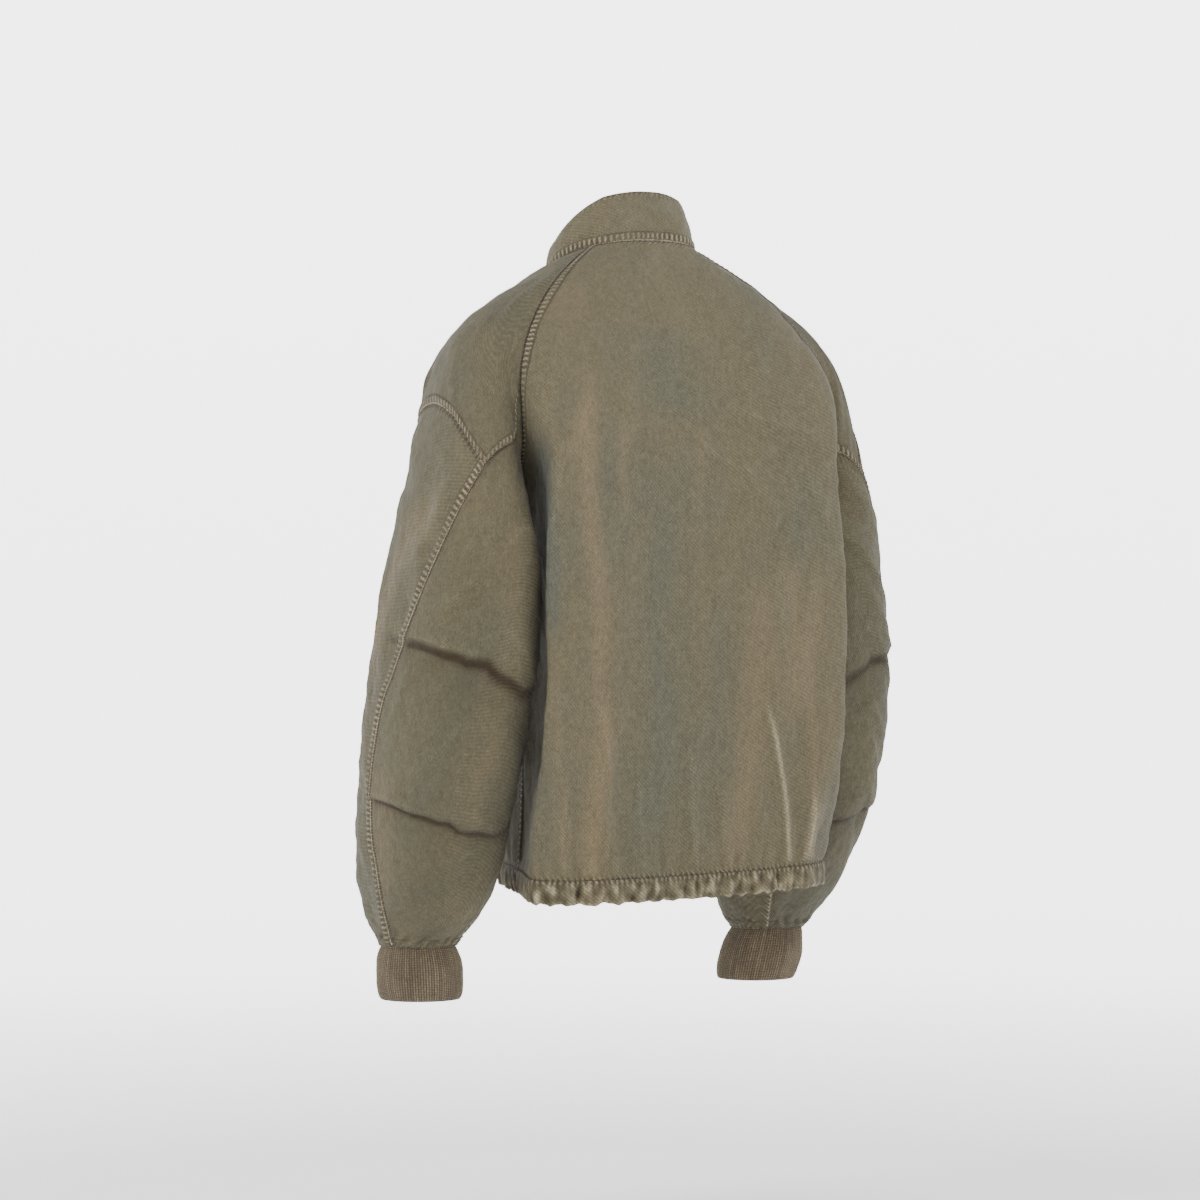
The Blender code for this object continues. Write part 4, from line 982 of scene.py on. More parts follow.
def surface_area(grid):
    first = np.cross(grid[1:, 1:] - grid[:-1, :-1], grid[1:, :-1] - grid[:-1, 1:])
    return 0.5 * np.linalg.norm(first, axis=-1).sum()


# %% [markdown]
# ## The back
#
# The back is one wide panel that blouses over the hem. Two stiff vertical
# edges stand behind the arms, and soft folds run from them to the gathers.
# A cloth simulation could make such folds, but not these ones, so the large
# folds come from the pattern tables, the small creases are placed from the
# picture, and uneven waves fill the rest.

# %% Where the hem gathers
HEM_PITCH = 20.5


def front_edge(level):
    """Where the left front stops short of the zip, as a place across."""
    fine = np.linspace(0.3, 0.5, 200)
    line = front_point(fine, np.full_like(fine, level))
    centre = front_point(np.array([0.5]), np.array([level]))
    return float(np.interp(-ZIP_OPENING / 2, -(line - centre)[:, 0], fine))


HEM_LEVEL, HALF = 2.0, 300
HEM_EDGE = front_edge(HEM_LEVEL)
HEM_PLACES = [np.linspace(HEM_EDGE, 0, HALF), np.linspace(0, 1, 2 * HALF), np.linspace(1, 1 - HEM_EDGE, HALF)]
HEM_POINTS = np.concatenate([
    point_at(across, np.full_like(across, HEM_LEVEL))
    for point_at, across in zip((front_point, back_point, front_point), HEM_PLACES)
])
HEM_RUN = run_along(HEM_POINTS, 0)


def gather_wave(run):
    """Gathers are never even: their pitch and depth both drift along the hem."""
    phase = 2 * pi * run / HEM_PITCH + 1.9 * np.sin(run / 41) + 1.1 * np.sin(run / 17 + 1)
    depth = 0.62 + 0.25 * np.sin(run / 29 + 2) + 0.18 * np.sin(run / 11)
    return depth * (np.sin(phase) + 0.35 * np.sin(2.3 * phase + 1))


def gathers_above(run, gap, height=2.4, reach=20.0):
    """The gathers fade upwards from the hem seam."""
    return height * gather_wave(run) * (1 - np.exp(-gap / 4)) * np.exp(-gap / reach)


print("hem seam, round:", round(float(HEM_RUN[-1])), "mm")

# %% The back panel
BACK_CREASES = [Crease(*row) for row in (
    (-142, -442, -165, -621, 6, 3.8), (-192, -529, -172, -628, 5, 3.6),
    (-148, -384, -151, -500, 9, 2.0), (-200, -539, -186, -627, 5, 2.8),
    (-128, -597, -132, -628, 5, 2.0), (-112, -156, -204, -180, 7, 1.9),
    (-117, -175, -202, -201, 6, -1.6), (-117, -209, -138, -243, 8, 2.2),
    (-68, -180, -121, -219, 8, 1.8), (19, -442, 16, -617, 8, 2.6), (-19, -500, -29, -627, 7, 2.2),
    (-68, -481, -78, -625, 7, 2.4), (-44, -539, -47, -627, 6, -1.8), (49, -520, 52, -615, 7, 2.2),
    (-102, -520, -112, -623, 6, 2.4), (-121, -384, -97, -500, 9, -1.8),
    (0, -306, 58, -384, 11, 1.6), (29, -228, -39, -267, 10, -1.4), (58, -190, 73, -306, 8, 1.8),
    (-155, -306, -175, -432, 8, 2.0), (-194, -306, -186, -432, 7, 2.4),
    (-78, -306, -29, -384, 12, 1.5), (-19, -170, 19, -219, 9, 1.3),
    (-184, -219, -209, -267, 7, 2.0), (-170, -248, -146, -306, 8, -1.6),
)]
# as creases are: side and height at the top and low end, width, and how faded
BACK_STREAKS = [Crease(*row) for row in (
    (70, -190, 66, -384, 11, -0.9), (33, -131, 17, -442, 11, 0.85), (17, -442, 23, -627, 12, 0.9),
    (29, -151, 58, -219, 8, 0.4), (-39, -228, -31, -617, 28, -0.55),
    (-78, -180, -68, -306, 9, 0.35), (-136, -326, -128, -462, 16, 0.55),
    (-126, -462, -113, -607, 14, 0.65), (-167, -306, -175, -462, 12, 0.6),
    (-19, -83, -78, -170, 40, -0.45), (-194, -306, -189, -597, 7, 0.5),
    (-5, -170, -8, -267, 7, 0.5), (-97, -345, -78, -597, 14, -0.4), (58, -403, 56, -617, 8, 0.45),
)]


def streaked(side, height, streaks):
    """Upright bands where the dye has faded (above 0) or gone grey (below 0)."""
    total = np.zeros_like(side)
    for streak in streaks:
        share = (height - streak.z_top) / (streak.z_low - streak.z_top)
        middle = streak.side_top + (streak.side_low - streak.side_top) * share
        middle = middle + 0.3 * streak.width * np.sin(height / 37 + streak.side_top)
        ends = smooth(share, -0.15, 0.2) * (1 - smooth(share, 0.8, 1.15))
        total += streak.height * ends * hump(side - middle, streak.width)
    return np.clip(total, -1, 1)


def body_rows():
    above, below = places(330, 0.0, 1.0), places(400, 1.0, 2.0)
    return np.concatenate([above[:-6], [above[-1]], below[6:]])


across, level = np.meshgrid(even_places(back_point, 1.35, 0.0, 1.0), body_rows())
back_grid = back_point(across, level)
gap_to_hem = edge_measures(back_grid)[2]
crease_lift, crease_wear_and_shade = creased(seen_side(back_grid), back_grid[..., 2], BACK_CREASES)
run_across, run_down = run_along(back_grid, 1), run_along(back_grid, 0)
hem_run = np.interp(across, HEM_PLACES[1], HEM_RUN[HALF:-HALF])
lift = crease_lift + gathers_above(hem_run, gap_to_hem)
lift += soft_waves(run_across, run_down, 45, 150, 1.5, 11, upright=1.5)
lift += soft_waves(run_across, run_down, 12, 30, 0.28, 12, count=40)
# The gathers are lighter on their crests, as wear, and darker in their troughs, as painted shade; sunk creases
# carry painted shade too.
gather_shade = 0.30 * gather_wave(hem_run) * np.exp(-gap_to_hem / 14)
faded = streaked(seen_side(back_grid), back_grid[..., 2], BACK_STREAKS)
add_panel("back", back_grid, 1, BODY_CLOTH, lift, crease_wear_and_shade + gather_shade, faded=faded)

# %% [markdown]
# ## The fronts
#
# Each front runs from the side seam to the zip. Its folds mirror the back's,
# and its straight front edge is turned in and stitched twice beside the zip.

# %% The front panels
ZIP_EDGES = np.array([front_edge(level) for level in np.linspace(0, 2, 41)])


def add_front(name, side):
    share, level = np.meshgrid(places(235), body_rows())
    edge = np.interp(level, np.linspace(0, 2, 41), ZIP_EDGES)
    across = edge * share if side == "left" else 1 - edge * (1 - share)
    grid = front_point(across, level)
    gap = edge_measures(grid)[2]
    seam_run, seam_across = (HEM_RUN[:HALF], HEM_PLACES[0]) if side == "left" else (HEM_RUN[-HALF:], HEM_PLACES[2])
    hem_run = np.interp(across, seam_across[::-1], seam_run[::-1])
    run_across, run_down = run_along(grid, 1), run_along(grid, 0)
    mirrored = [crease._replace(side_top=-crease.side_top, side_low=-crease.side_low) for crease in FRONT_CREASES]
    creases = FRONT_CREASES if side == "left" else mirrored
    lift, wear_and_painted_shade = creased(grid[..., 0], grid[..., 2], creases)
    lift += gathers_above(hem_run, gap)
    lift += soft_waves(run_across, run_down, 45, 150, 1.3, 21 if side == "left" else 22, upright=1.4)
    lift += soft_waves(run_across, run_down, 12, 30, 0.25, 23, count=40)
    # The gathers are lighter on their crests, as wear, and darker in their troughs, as painted shade; sunk creases
    # carry painted shade too.
    add_panel(name, grid, -1, BODY_CLOTH, lift, wear_and_painted_shade + 0.3 * gather_wave(hem_run) * np.exp(-gap / 14))


FRONT_CREASES = [Crease(*row) for row in (
    (128, -235, 70, -330, 9, 2.5), (120, -300, 55, -420, 11, -2.0), (60, -470, 75, -590, 8, 2.6),
    (100, -500, 98, -596, 7, 2.2), (30, -500, 36, -590, 7, 1.8), (104, -170, 60, -230, 10, 1.8),
    (112, -420, 60, -470, 8, 1.6),
)]
add_front("front_left", "left")
add_front("front_right", "right")

# %% [markdown]
# ## The sleeves
#
# Each sleeve is a tube cut in two: a narrow panel behind and a wide one
# round the outside, below a saddle that covers the shoulder. The tube is
# made whole, so folds and tucks run through, and then parted at the back
# seam. Two tucks at the back seam give the elbow room. Cloth hangs over each
# in a ledge, which needs a real step in the mesh, because bump cannot
# cast its shadow.

# %% Tubes and saddles
def sleeve_grids(side):
    turns = np.concatenate([places(165, 0, JUNCTION)[:-1], places(330, JUNCTION, 1)])
    turn, down, top_turn, row = sleeve_places(turns, places(500))
    tube = arm_moved(sleeve_point(turn, down, side), down, side)
    padded = np.concatenate([tube[:, -2:-1], tube, tube[:, 1:2]], axis=1)
    tube = tube - grid_normals(padded)[:, 1:-1] * tuck_height(top_turn, row)[..., None]
    tips = places(330, TIP_BACK + 0.003, TIP_FRONT - 0.003)
    share = places(105)[:, None]
    saddle_down = share * saddle_seam(tips)[None]
    saddle = arm_moved(sleeve_point(tips[None] + 0 * share, saddle_down, side), saddle_down, side)
    return tube, saddle, top_turn, row


def tuck_wear_and_shadow(top_turn, row):
    """A light rubbed line on each ledge, then painted shadow: a dark crease under it and a warm shade that fades
    below.
    """
    wear_and_painted_shade = 0
    for tuck in TUCKS:
        below = row - tuck.down
        soft = tuck_softness(top_turn)
        wear_and_painted_shade = wear_and_painted_shade + 0.14 * hump(below + 0.006, 0.005)
        # Painted shadow: a dark line in the crease under the ledge, and a shade that fades below it.
        wear_and_painted_shade = wear_and_painted_shade - (0.0045 / soft) ** 0.4 * 0.95 * hump(below - 0.005, soft + 0.001)
        wear_and_painted_shade = wear_and_painted_shade - 0.30 * (below > 0) * np.exp(-below / 0.05)
    return wear_and_painted_shade * np.clip(2.5 * tuck_fade(top_turn), 0, 1)


SLEEVE_CREASES = [Crease(*row) for row in (
    (60, -130, 150, -175, 8, 2.2), (80, -165, 160, -195, 7, -1.6), (40, -230, 140, -262, 9, 2.0),
    (190, -40, 205, -160, 8, 2.4), (235, -180, 200, -260, 10, 2.0), (290, -140, 250, -240, 12, 1.8),
    (60, -320, 150, -345, 8, 2.2), (90, -352, 165, -372, 7, -1.6), (200, -300, 260, -360, 10, 2.2),
    (30, -390, 110, -425, 8, 1.8), (150, -400, 200, -440, 8, 1.8), (230, -390, 280, -440, 9, 2.0),
    (330, -150, 360, -230, 12, 1.8), (380, -240, 430, -290, 10, 2.2),
    (320, -300, 380, -340, 10, -1.8), (420, -330, 350, -380, 10, 2.0),
    (460, -180, 420, -230, 9, 2.0),
)]
SLEEVE_STREAKS = [Crease(*row) for row in (
    (200, -60, 215, -260, 14, 0.6), (240, -230, 230, -420, 12, 0.7),
    (275, -100, 280, -330, 16, 0.5), (100, -200, 110, -420, 22, -0.5),
    (330, -80, 335, -380, 18, 0.5), (410, -150, 400, -430, 16, 0.5),
    (160, -330, 165, -470, 14, 0.4),
)]


def add_sleeve(side):
    tube, saddle, top_turn, row = sleeve_grids(side)
    seed = 31 if side == "left" else 41
    run_across, run_down = run_along(tube, 1), run_along(tube, 0)
    lift, wear_and_painted_shade = creased(top_turn * 500, -run_down, SLEEVE_CREASES)
    lift += soft_waves(run_across, run_down, 40, 130, 1.6, seed)
    lift += soft_waves(run_across, run_down, 12, 28, 0.32, seed + 1, count=40)
    to_cuff = run_down[-1:] - run_down
    ends = 1.9 * np.sin(run_across / 2.1 + 2 * np.sin(run_across / 23)) * hump(to_cuff - 9, 7)
    lift += ends
    # Painted shadow under the tucks is added here, and the ripples above the cuff are lighter on their crests, as
    # wear, and darker in their troughs, as painted shade.
    wear_and_painted_shade = wear_and_painted_shade + tuck_wear_and_shadow(top_turn, row) + 0.16 * ends
    faded = streaked(top_turn * 500, -run_down, SLEEVE_STREAKS)
    column = int(np.argmin(np.abs(top_turn[0] - JUNCTION)))
    cuts = {"back_sleeve_": slice(0, column + 1), "outer_sleeve_": slice(column, None)}
    for part, columns in cuts.items():
        grid, part_values = tube[:, columns], [values[:, columns] for values in (lift, wear_and_painted_shade, faded)]
        if side == "right":
            grid, part_values = mirror_x(grid)[:, ::-1], [values[:, ::-1] for values in part_values]
        add_panel(part + side, grid, -1, SLEEVE_CLOTH, *part_values[:2], faded=part_values[2])
    grid = saddle if side == "left" else mirror_x(saddle)[:, ::-1]
    lift = soft_waves(run_along(grid, 1), run_along(grid, 0), 30, 90, 0.9, seed + 2)
    add_panel("shoulder_" + side, grid, -1, SLEEVE_CLOTH, lift)


add_sleeve("left")
add_sleeve("right")

# %% [markdown]
# ## The collar
#
# A stand collar is a straight double band sewn to the neck seam. It leans
# out a little and its edge is rolled, so it is built from the neck seam
# upwards, with each point of the seam sent to its place on the top edge.

# %% The collar band
def neck_line():
    edge = ZIP_EDGES[0]
    saddle_places = np.linspace(0, 1, 30)
    side_line = neck_side(saddle_places)
    left = front_point(np.linspace(edge, 0, 60), np.zeros(60))
    back = back_point(np.linspace(0, 1, 120), np.zeros(120))
    right = front_point(np.linspace(1, 1 - edge, 60), np.zeros(60))
    line = np.concatenate([left, side_line[::-1][1:], back[1:], mirror_x(side_line)[1:], right[1:]])
    run = run_along(line, 0)
    even = places(run[-1], step=2.2) * run[-1]
    return np.stack([np.interp(even, run, line[:, k]) for k in range(3)], axis=-1)


neck = neck_line()
share = 1 - places(52, step=2.2)[:, None]
collar = collar_point(neck[None] + 0 * share[..., None], share + 0 * neck[None, :, 0])
lift = soft_waves(run_along(collar, 1), run_along(collar, 0), 16, 60, 0.5, 51, count=40)
add_panel("collar", collar, 1, TRIM_CLOTH, lift, thickness=COLLAR_CLOTH, dip=0.5)

# %% [markdown]
# ## The hem casing
#
# The hem is a tunnel of cloth with a cord drawn up inside, so its face
# stands in uneven gathers and its lower edge is scalloped. It is swept as a
# rounded section along the hem seam, and the same gather wave that lifts the
# panels above also lifts the casing, so both ripple together.

# %% Sweep the casing
HEM_HEIGHT, SEAM_GAP = 22, 0.3
HEM_SECTION = [
    (-0.35, 0.015), (-0.3, -0.05), (1.4, -0.055), (2.5, 0.0), (3.0, 0.14), (3.4, 0.28), (3.6, 0.42), (3.5, 0.56),
    (3.2, 0.70),
    (2.6, 0.84), (1.6, 0.95), (0.3, 1.0), (-1.0, 0.94), (-1.9, 0.75), (-2.2, 0.4), (-1.8, 0.05),
]


def section_sweep(name, lines, material, values, cut):
    """A closed tube from lines that run side by side: (count, sides, 3), capped at both ends."""
    count, sides = lines.shape[:2]
    index = np.arange(count * sides).reshape(count, sides)
    following = np.roll(index, -1, axis=1)
    walls = np.stack([index[:-1], following[:-1], following[1:], index[1:]], axis=-1)
    faces = walls.reshape(-1, 4).tolist() + [index[0][::-1].tolist(), index[-1].tolist()]
    values = {key: value.ravel() for key, value in values.items()}
    mesh = cloth_mesh(name, lines.reshape(-1, 3), faces, cut.reshape(-1, 2), values)
    face_outwards(mesh)
    return add_piece(name, mesh, material)


def face_outwards(mesh):
    """Turn the faces round where the volume inside them comes out below zero."""
    mesh.calc_loop_triangles()
    corners = np.empty(3 * len(mesh.loop_triangles), np.int32)
    mesh.loop_triangles.foreach_get("vertices", corners)
    points = np.empty(3 * len(mesh.vertices), np.float32)
    mesh.vertices.foreach_get("co", points)
    a, b, c = points.reshape(-1, 3)[corners.reshape(-1, 3)].astype(float).transpose(1, 0, 2)
    if np.einsum("ij,ij->", a, np.cross(b, c)) < 0:
        mesh.flip_normals()


def make_hem():
    count = int(HEM_RUN[-1] / 1.9)
    run = np.linspace(0, HEM_RUN[-1], count)
    line = np.stack([np.interp(run, HEM_RUN, HEM_POINTS[:, k]) for k in range(3)], axis=-1)
    along = unit(np.gradient(line, axis=0) * np.array([1, 1, 0]))
    outward = np.cross(along, np.array([0, 0, 1.0]))
    outward *= np.sign(np.sum(outward * (line - line.mean(axis=0)), axis=1))[:, None]
    wave = (gather_wave(run) * smooth(np.minimum(run, run[-1] - run), 0, 25))[:, None]
    out, down = np.array(HEM_SECTION).T
    facing = (out > 1).astype(float)
    run_grid, down_grid = np.meshgrid(run, HEM_HEIGHT * down, indexing="ij")
    slant = soft_waves(run_grid, down_grid, 8, 22, 0.95, 61, count=60, upright=1.5) * smooth(down, 0.02, 0.25)
    reach = out + facing * (0.9 * wave * np.sin(pi * np.clip(down, 0.06, 1)) + slant)
    drop = down_grid + SEAM_GAP + 1.6 * wave * (down > 0.6) * down
    lines = line[:, None] + outward[:, None] * reach[..., None] - np.array([0, 0, 1.0]) * drop[..., None]
    low_edge = np.abs(down - 0.95) < 0.06
    # The casing face is lighter where it bulges out and along its low edge, as wear, and darker where it sinks in,
    # as painted shade.
    wear_and_shade = facing * (0.12 * wave + 0.42 * slant + 0.35 * low_edge)
    values = {"edge_gap": np.abs(drop) * MM, "edge_run": run_grid * MM, "wear_and_shade": wear_and_shade, "faded": 0 * drop}
    hem = section_sweep("hem_casing_cloth", lines, TRIM_CLOTH, values, np.stack([run_grid, drop], axis=-1))
    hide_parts("hem_casing")
    return hem, line, outward


hem_piece, hem_line, hem_outward = make_hem()
print("hem casing:", len(hem_piece.data.polygons), "faces")

# %% [markdown]
# ## The cuffs
#
# Rib knit is narrow columns of loops with gaps between them, and it pulls
# the sleeve's end in. The ribs are real here, because they show on the
# outline of the cuff. The loops on each rib are far smaller, so they stay in
# the material.

# %% Knit the cuffs
CUFF_RIBS, POINTS_PER_RIB, CUFF_HEIGHT, RIB_HEIGHT, RIB_KNIT = 100, 5, 53, 0.8, 2.2
CUFF_OUT = [
    (0, -1.5), (0.10, 0.8), (0.25, 3.2), (0.45, 4.6), (0.7, 4.8), (0.88, 3.6), (0.96, 2.2), (1.0, 0.6),
]
CUFF_DRIFT = np.array([-8, -9, -CUFF_HEIGHT])
KNIT_STEP = 0.52


def make_cuff(side, sign):
    ring = SLEEVE[-1]
    count = CUFF_RIBS * POINTS_PER_RIB
    places_round = np.arange(count)
    base = ring_point(ring, places_round / count) + arm_move(side)
    centre = np.array([ring.x, ring.y, ring.z]) + arm_move(side)
    outward = unit((base - centre) * np.array([1, 1, 0]))
    down = np.linspace(0, 1, 27)
    out = np.interp(down, *np.array(CUFF_OUT).T)
    rib = 0.5 + 0.5 * np.cos(2 * pi * places_round / POINTS_PER_RIB)
    rib *= 0.75 + 0.25 * np.sin(places_round * 0.39) * np.sin(places_round * 0.061)
    run_round, run_down = np.meshgrid(places_round * KNIT_STEP, CUFF_HEIGHT * down)
    sag = soft_waves(run_round, run_down, 30, 70, 0.7, 71, count=12) * np.sin(pi * down)[:, None]
    face = base[None] + CUFF_DRIFT * down[:, None, None] - np.array([0, 0, SEAM_GAP])
    outer = face + outward[None] * (out[:, None] + sag + RIB_HEIGHT * rib[None] - 0.2)[..., None]
    inner = face + outward[None] * (out[:, None] + sag - RIB_KNIT)[..., None]
    rows = [outer, inner[::-1]]
    loop = np.concatenate(rows) * np.array([sign, 1, 1])
    lines = loop.transpose(1, 0, 2)
    sides = lines.shape[1]
    index = np.arange(count * sides).reshape(count, sides)
    following_ring, following_side = np.roll(index, -1, axis=0), np.roll(index, -1, axis=1)
    both = np.roll(following_ring, -1, axis=1)
    faces = np.stack([index, following_side, both, following_ring], axis=-1).reshape(-1, 4).tolist()
    run = np.concatenate([down, 1 + down]) * CUFF_HEIGHT
    cut = np.stack(np.meshgrid(places_round * KNIT_STEP, run, indexing="ij"), axis=-1)
    # The rib's height: the knit colour is lightest on the rib tops and darkens the gaps between ribs as painted
    # shade.
    wear_and_shade = rib[:, None] * np.ones(sides)[None]
    mesh = cloth_mesh("cuff_knit_" + side, lines.reshape(-1, 3), faces, cut.reshape(-1, 2), {"wear_and_shade": wear_and_shade})
    face_outwards(mesh)
    piece = add_piece("cuff_knit_" + side, mesh, KNIT)
    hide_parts("cuff_" + side)
    return piece


cuffs = {side: make_cuff(side, sign) for side, sign in (("left", 1), ("right", -1))}
print("cuffs:", [len(cuff.data.polygons) for cuff in cuffs.values()], "faces")

# %% [markdown]
# ## Felled seams
#
# The seams are lapped and stitched down twice, so one side carries a flat
# band about eight millimetres wide. Thread shrinks less than cotton, and the
# band puckers into a small ladder. Bump alone would look flat from the side,
# so each band is a thin raised strip that follows its panel's edge.

# %% Lines beside a seam
def beside(name, edge, distances):
    """Lines inside a panel at given distances from one edge, and their normals."""
    face, normal = FACES[name]
    if edge in ("top", "low"):
        face, normal = face.transpose(1, 0, 2), normal.transpose(1, 0, 2)
    if edge in ("low", "last"):
        face, normal = face[:, ::-1], normal[:, ::-1]
    runs = run_along(face, 1)
    both = np.concatenate([face, normal], axis=-1)
    lines = np.array([[np.interp(distances, run, row[:, k]) for k in range(6)]
                      for run, row in zip(runs, both)])
    return lines.transpose(0, 2, 1)


def stretch(lines, step, start=0.0, end=1.0):
    """The same lines sampled evenly along their length."""
    middle = lines[:, lines.shape[1] // 2, :3]
    run = run_along(middle, 0)
    at = np.linspace(start * run[-1], end * run[-1], max(3, int((end - start) * run[-1] / step)))
    row = np.interp(at, run, np.arange(len(run)))
    low = np.minimum(row.astype(int), len(run) - 2)
    part = (row - low)[:, None, None]
    return lines[low] * (1 - part) + lines[low + 1] * part, at


BAND_DISTANCES = np.array([0.1, 0.7, 2.2, 4.2, 6.2, 7.6, 8.4])
BAND_LIFT = np.array([-0.4, 0.7, 1.0, 0.9, 1.0, 0.75, -0.5])
BAND_RIPPLE = np.array([0.0, 0.35, 0.9, 1.0, 0.9, 0.4, 0.0])


def seam_band(name, panel, edge, start, end):
    lines, run = stretch(beside(panel, edge, BAND_DISTANCES), 1.35, start, end)
    points, normals = lines[..., :3], unit(lines[..., 3:])
    ripple = np.sin(2 * pi * run / 5.6 + 1.3 * np.sin(run / 31) + 0.9 * np.sin(run / 12))
    ripple *= 0.75 + 0.25 * np.sin(run / 19)
    lift = BAND_LIFT[None] + 0.42 * BAND_RIPPLE[None] * ripple[:, None]
    top = points + normals * lift[..., None]
    below = points[:, [5, 1]] - normals[:, [5, 1]] * 0.9
    closed = np.concatenate([top, below], axis=1)
    # The band's puckers are lighter on their crests, as wear, and darker in their troughs, as painted shade. Its
    # fold edge is a rubbed light line, and its far edge a dark line of painted shade in the seam's ditch.
    wear_and_shade = 0.06 + 0.75 * BAND_RIPPLE[None] * ripple[:, None]
    wear_and_shade[:, [0, 1]] = 0.95
    wear_and_shade[:, -1] = -0.5
    wear_and_shade = np.concatenate([wear_and_shade, np.zeros_like(wear_and_shade[:, :2])], axis=1)
    cut = np.stack(np.meshgrid(run, [*BAND_DISTANCES, 7, 1], indexing="ij"), axis=-1)
    far = np.ones_like(wear_and_shade)
    values = {"edge_gap": far, "edge_run": far, "wear_and_shade": wear_and_shade, "faded": 0 * wear_and_shade}
    return section_sweep(name, closed, SLEEVE_CLOTH, values, cut)


BANDS = {
    "raglan_band_left": ("back", "first", 0.0, 0.445), "raglan_band_right": ("back", "last", 0.0, 0.445),
    "front_raglan_band_left": ("front_left", "first", 0.02, 0.42),
    "front_raglan_band_right": ("front_right", "last", 0.02, 0.42),
    "side_band_left": ("back", "first", 0.46, 0.985), "side_band_right": ("back", "last", 0.46, 0.985),
    "saddle_band_left": ("shoulder_left", "low", 0.03, 0.97),
    "saddle_band_right": ("shoulder_right", "low", 0.03, 0.97),
    "elbow_band_left": ("outer_sleeve_left", "first", 0.0, 0.985),
    "elbow_band_right": ("outer_sleeve_right", "last", 0.0, 0.985),
    "neck_band": ("collar", "low", 0.01, 0.99),
}
bands = {name: seam_band(name, *where) for name, where in BANDS.items()}
print(len(bands), "felled seams")

# %% [markdown]
# ## Stitches
#
# Each row of stitches is a line of small dark grains with even gaps. There
# are thousands, so Geometry Nodes place them: a line becomes a curve, the
# curve is cut into equal steps, and one low grain of thread is set on each
# step, turned along the line and lying flat on the cloth. Modelling them one
# by one, or painting them, would lose either the time or the relief.

# %% A tree that sets pieces along lines
def along_lines_tree(name, shape, material):
    tree = bpy.data.node_groups.new(name, "GeometryNodeTree")
    tree.is_modifier = True
    for label, kind in (("Lines", "Geometry"), ("Pitch", "Float"), ("Size", "Vector")):
        tree.interface.new_socket(label, in_out="INPUT", socket_type="NodeSocket" + kind)
    tree.interface.new_socket("Pieces", in_out="OUTPUT", socket_type="NodeSocketGeometry")
    given, out = tree.nodes.new("NodeGroupInput").outputs, tree.nodes.new("NodeGroupOutput").inputs
    curve = make(tree, "GeometryNodeMeshToCurve", [given["Lines"]]).outputs[0]
    steps = make(tree, "GeometryNodeResampleCurve", {"Curve": curve, "Length": given["Pitch"]},
                 mode="LENGTH").outputs[0]
    if shape == "grain":
        one = make(tree, "GeometryNodeMeshUVSphere", {"Segments": 6, "Rings": 4, "Radius": 0.5}).outputs[0]
    else:
        one = make(tree, "GeometryNodeMeshCube", {"Size": (1.0, 1.0, 1.0)}).outputs[0]
    tangent = make(tree, "GeometryNodeInputTangent").outputs[0]
    normal = make(tree, "GeometryNodeInputNamedAttribute", {"Name": "facing"},
                  data_type="FLOAT_VECTOR").outputs[0]
    turned = make(tree, "FunctionNodeAlignRotationToVector", {"Vector": tangent}, axis="X").outputs[0]
    turned = make(tree, "FunctionNodeAlignRotationToVector", {"Rotation": turned, "Vector": normal},
                  axis="Z", pivot_axis="X").outputs[0]
    settings = {"Points": steps, "Instance": one, "Rotation": turned, "Scale": given["Size"]}
    placed = make(tree, "GeometryNodeInstanceOnPoints", settings).outputs[0]
    real = make(tree, "GeometryNodeRealizeInstances", [placed]).outputs[0]
    painted = make(tree, "GeometryNodeSetMaterial", {"Geometry": real, "Material": material}).outputs[0]
    tree.links.new(painted, out["Pieces"])
    return tree


def along_lines(name, lines, tree, pitch, size):
    """lines: arrays (count, 6) of points in millimetres and facing directions."""
    mesh = bpy.data.meshes.new(name + " lines")
    points = np.concatenate([line[:, :3] for line in lines]) * MM
    facing = np.concatenate([unit(line[:, 3:]) for line in lines])
    starts = np.cumsum([0] + [len(line) for line in lines])
    edges = [(i, i + 1) for a, b in zip(starts, starts[1:]) for i in range(a, b - 1)]
    mesh.from_pydata(points.tolist(), edges, [])
    layer = mesh.attributes.new("facing", "FLOAT_VECTOR", "POINT")
    layer.data.foreach_set("vector", facing.astype(np.float32).ravel())
    guide = bpy.data.objects.new(name + " lines", mesh)
    bpy.context.scene.collection.objects.link(guide)
    modifier = guide.modifiers.new("pieces", "NODES")
    modifier.node_group = tree
    sockets = {item.name: item.identifier for item in tree.interface.items_tree if item.in_out == "INPUT"}
    modifier[sockets["Pitch"]] = pitch * MM
    modifier[sockets["Size"]] = [value * MM for value in size]
    guide.update_tag()
    bpy.context.view_layer.update()
    made = bpy.data.meshes.new_from_object(guide.evaluated_get(bpy.context.evaluated_depsgraph_get()))
    bpy.data.objects.remove(guide)
    made.name = name
    made.shade_smooth()
    piece = bpy.data.objects.new(name, made)
    bpy.context.scene.collection.objects.link(piece)
    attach(piece, "jacket")
    print(name + ":", len(made.polygons), "faces")
    return piece


STITCHES = along_lines_tree("set stitches", "grain", THREAD)
TEETH = along_lines_tree("set teeth", "block", METAL)


# %% Sew the rows
STITCH_LIFT, STITCH_PITCH, STITCH_SIZE = 0.2, 2.9, (2.7, 1.2, 0.8)


def row_of(panel, edge, distance, lift, start, end):
    lines, _ = stretch(beside(panel, edge, np.array([distance])), 2.0, start, end)
    line = lines[:, 0]
    line[:, :3] += unit(line[:, 3:]) * (lift + STITCH_LIFT)
    return line


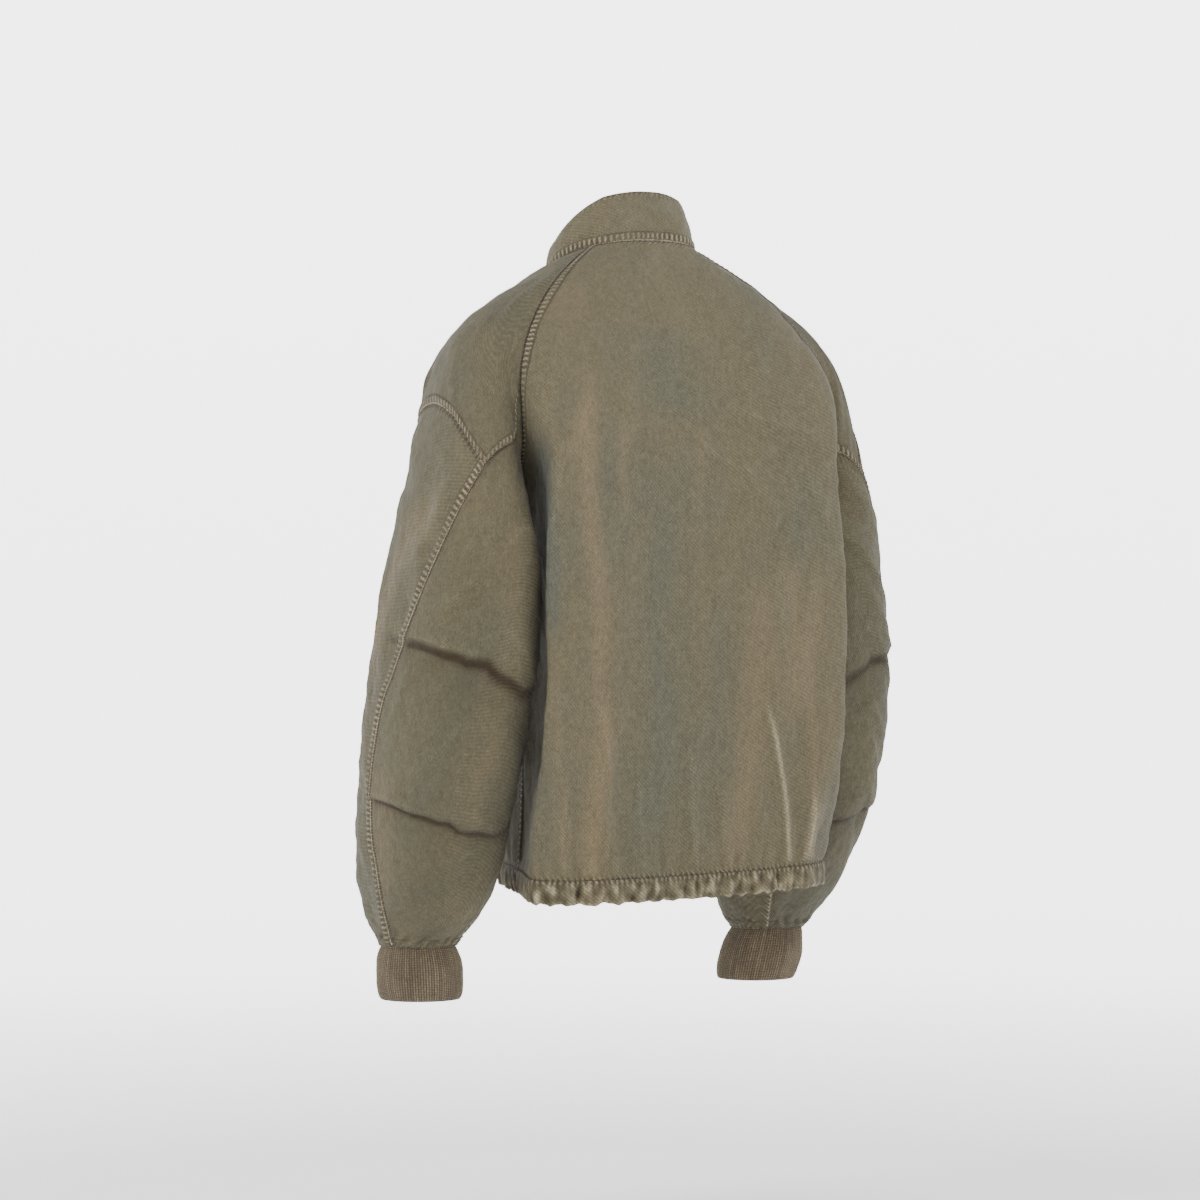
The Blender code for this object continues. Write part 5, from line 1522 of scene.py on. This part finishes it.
ROWS = {  # panel and edge, then millimetres inside it and above it, and the shares where the row starts and ends
    "body_stitches": [
        ("back", "first", 8.6, 0.1, 0, 0.985), ("back", "last", 8.6, 0.1, 0, 0.985),
        ("back", "first", 1.5, 0.7, 0, 0.985), ("back", "last", 1.5, 0.7, 0, 0.985),
        ("back", "top", 1.8, 0.1, 0, 1),
        ("front_left", "first", 8.6, 0.1, 0, 0.42), ("front_right", "last", 8.6, 0.1, 0, 0.42),
        ("front_left", "first", 1.5, 0.6, 0, 0.42), ("front_right", "last", 1.5, 0.6, 0, 0.42),
        ("front_left", "last", 2.0, 0.1, 0, 1), ("front_left", "last", 9.0, 0.1, 0, 1),
        ("front_right", "first", 2.0, 0.1, 0, 1), ("front_right", "first", 9.0, 0.1, 0, 1),
        ("front_left", "top", 1.8, 0.1, 0, 1), ("front_right", "top", 1.8, 0.1, 0, 1),
    ],
    "collar_stitches": [
        ("collar", "low", 1.4, 0.75, 0, 1), ("collar", "low", 8.6, 0.1, 0, 1),
        ("collar", "top", 1.8, 0.1, 0, 1), ("collar", "first", 2.0, 0.1, 0, 1), ("collar", "last", 2.0, 0.1, 0, 1),
    ],
}
for side, near, far in (("left", "first", "last"), ("right", "last", "first")):
    outer, behind, saddle = "outer_sleeve_" + side, "back_sleeve_" + side, "shoulder_" + side
    ROWS["sleeve_stitches_" + side] = [
        (outer, near, 1.5, 0.7, 0, 0.985), (outer, near, 8.6, 0.1, 0, 0.985),
        (behind, far, 1.6, 0.1, 0, 0.985), (behind, far, 3.8, 0.1, 0, 0.985),
        (outer, "top", 1.6, 0.1, 0, 1), (outer, "top", 3.8, 0.1, 0, 1),
        (behind, "top", 1.6, 0.1, 0, 1), (behind, "top", 3.8, 0.1, 0, 1),
        (saddle, "top", 1.6, 0.1, 0, 1), (saddle, "top", 3.8, 0.1, 0.02, 0.98),
        (saddle, "low", 1.5, 0.7, 0.03, 0.97), (saddle, "low", 8.6, 0.1, 0.06, 0.94),
        (outer, "low", 12, 0.1, 0, 1), (behind, "low", 12, 0.1, 0, 1),
        (outer, "low", 1.6, 0.1, 0, 1), (behind, "low", 1.6, 0.1, 0, 1),
    ]
sewing = {name: along_lines(name, [row_of(*row) for row in rows], STITCHES, STITCH_PITCH, STITCH_SIZE)
          for name, rows in ROWS.items()}
hem_row = np.concatenate([hem_line + hem_outward * 3.1 - np.array([0, 0, 3.4]), hem_outward], axis=1)
hem_top = np.concatenate([hem_line + hem_outward * 1.2 + np.array([0, 0, 1.3]), hem_outward], axis=1)
sewing["hem_stitches"] = along_lines("hem_stitches", [hem_row, hem_top], STITCHES, STITCH_PITCH, (2.5, 0.85, 0.7))

# %% [markdown]
# ## The zip
#
# The tapes, the slider and its pull tab are already right in the solid
# model, so they only take better materials. The teeth are small blocks set
# along both tapes, half a step apart, so that they mesh when closed.

# %% Set the teeth
TAPE_DEPTH, TOOTH_PITCH = 2.9, 2.8


def zip_line():
    levels = np.linspace(1.985, 0, 160)
    below = front_point(np.full(160, 0.5), levels)
    shares = np.linspace(0, 0.93, 14)[1:]
    above = collar_point(np.tile(below[-1], (13, 1)), shares)
    return np.concatenate([below, above])


def teeth_line(sign):
    line = zip_line()
    down = unit(np.gradient(line, axis=0) * np.array([0, 1, 1]))
    outward = np.cross(down, np.array([1.0, 0, 0]))
    outward = outward * np.sign(-outward[:, 1])[:, None]
    run = run_along(line, 0)
    at = np.linspace(0.5 * TOOTH_PITCH * (sign > 0), run[-1], 400)
    beside_centre = line - outward * (TAPE_DEPTH - 0.35) + np.array([sign * 0.9, 0, 0])
    both = np.concatenate([beside_centre, outward], axis=1)
    return np.stack([np.interp(at, run, both[:, k]) for k in range(6)], axis=-1)


TOOTH_SIZE = (1.15, 2.6, 1.3)
along_lines("zip_teeth", [teeth_line(1), teeth_line(-1)], TEETH, TOOTH_PITCH, TOOTH_SIZE)

# %% [markdown]
# ## The pieces of cloth
#
# Each panel printed its width, length and area when it was made. Here the
# pieces of cloth are counted: the panels, the hem casing and the two cuffs.
# The bands and stitches go with the panels that carry them.

print(len(PANELS) + 3, "sheets declared")
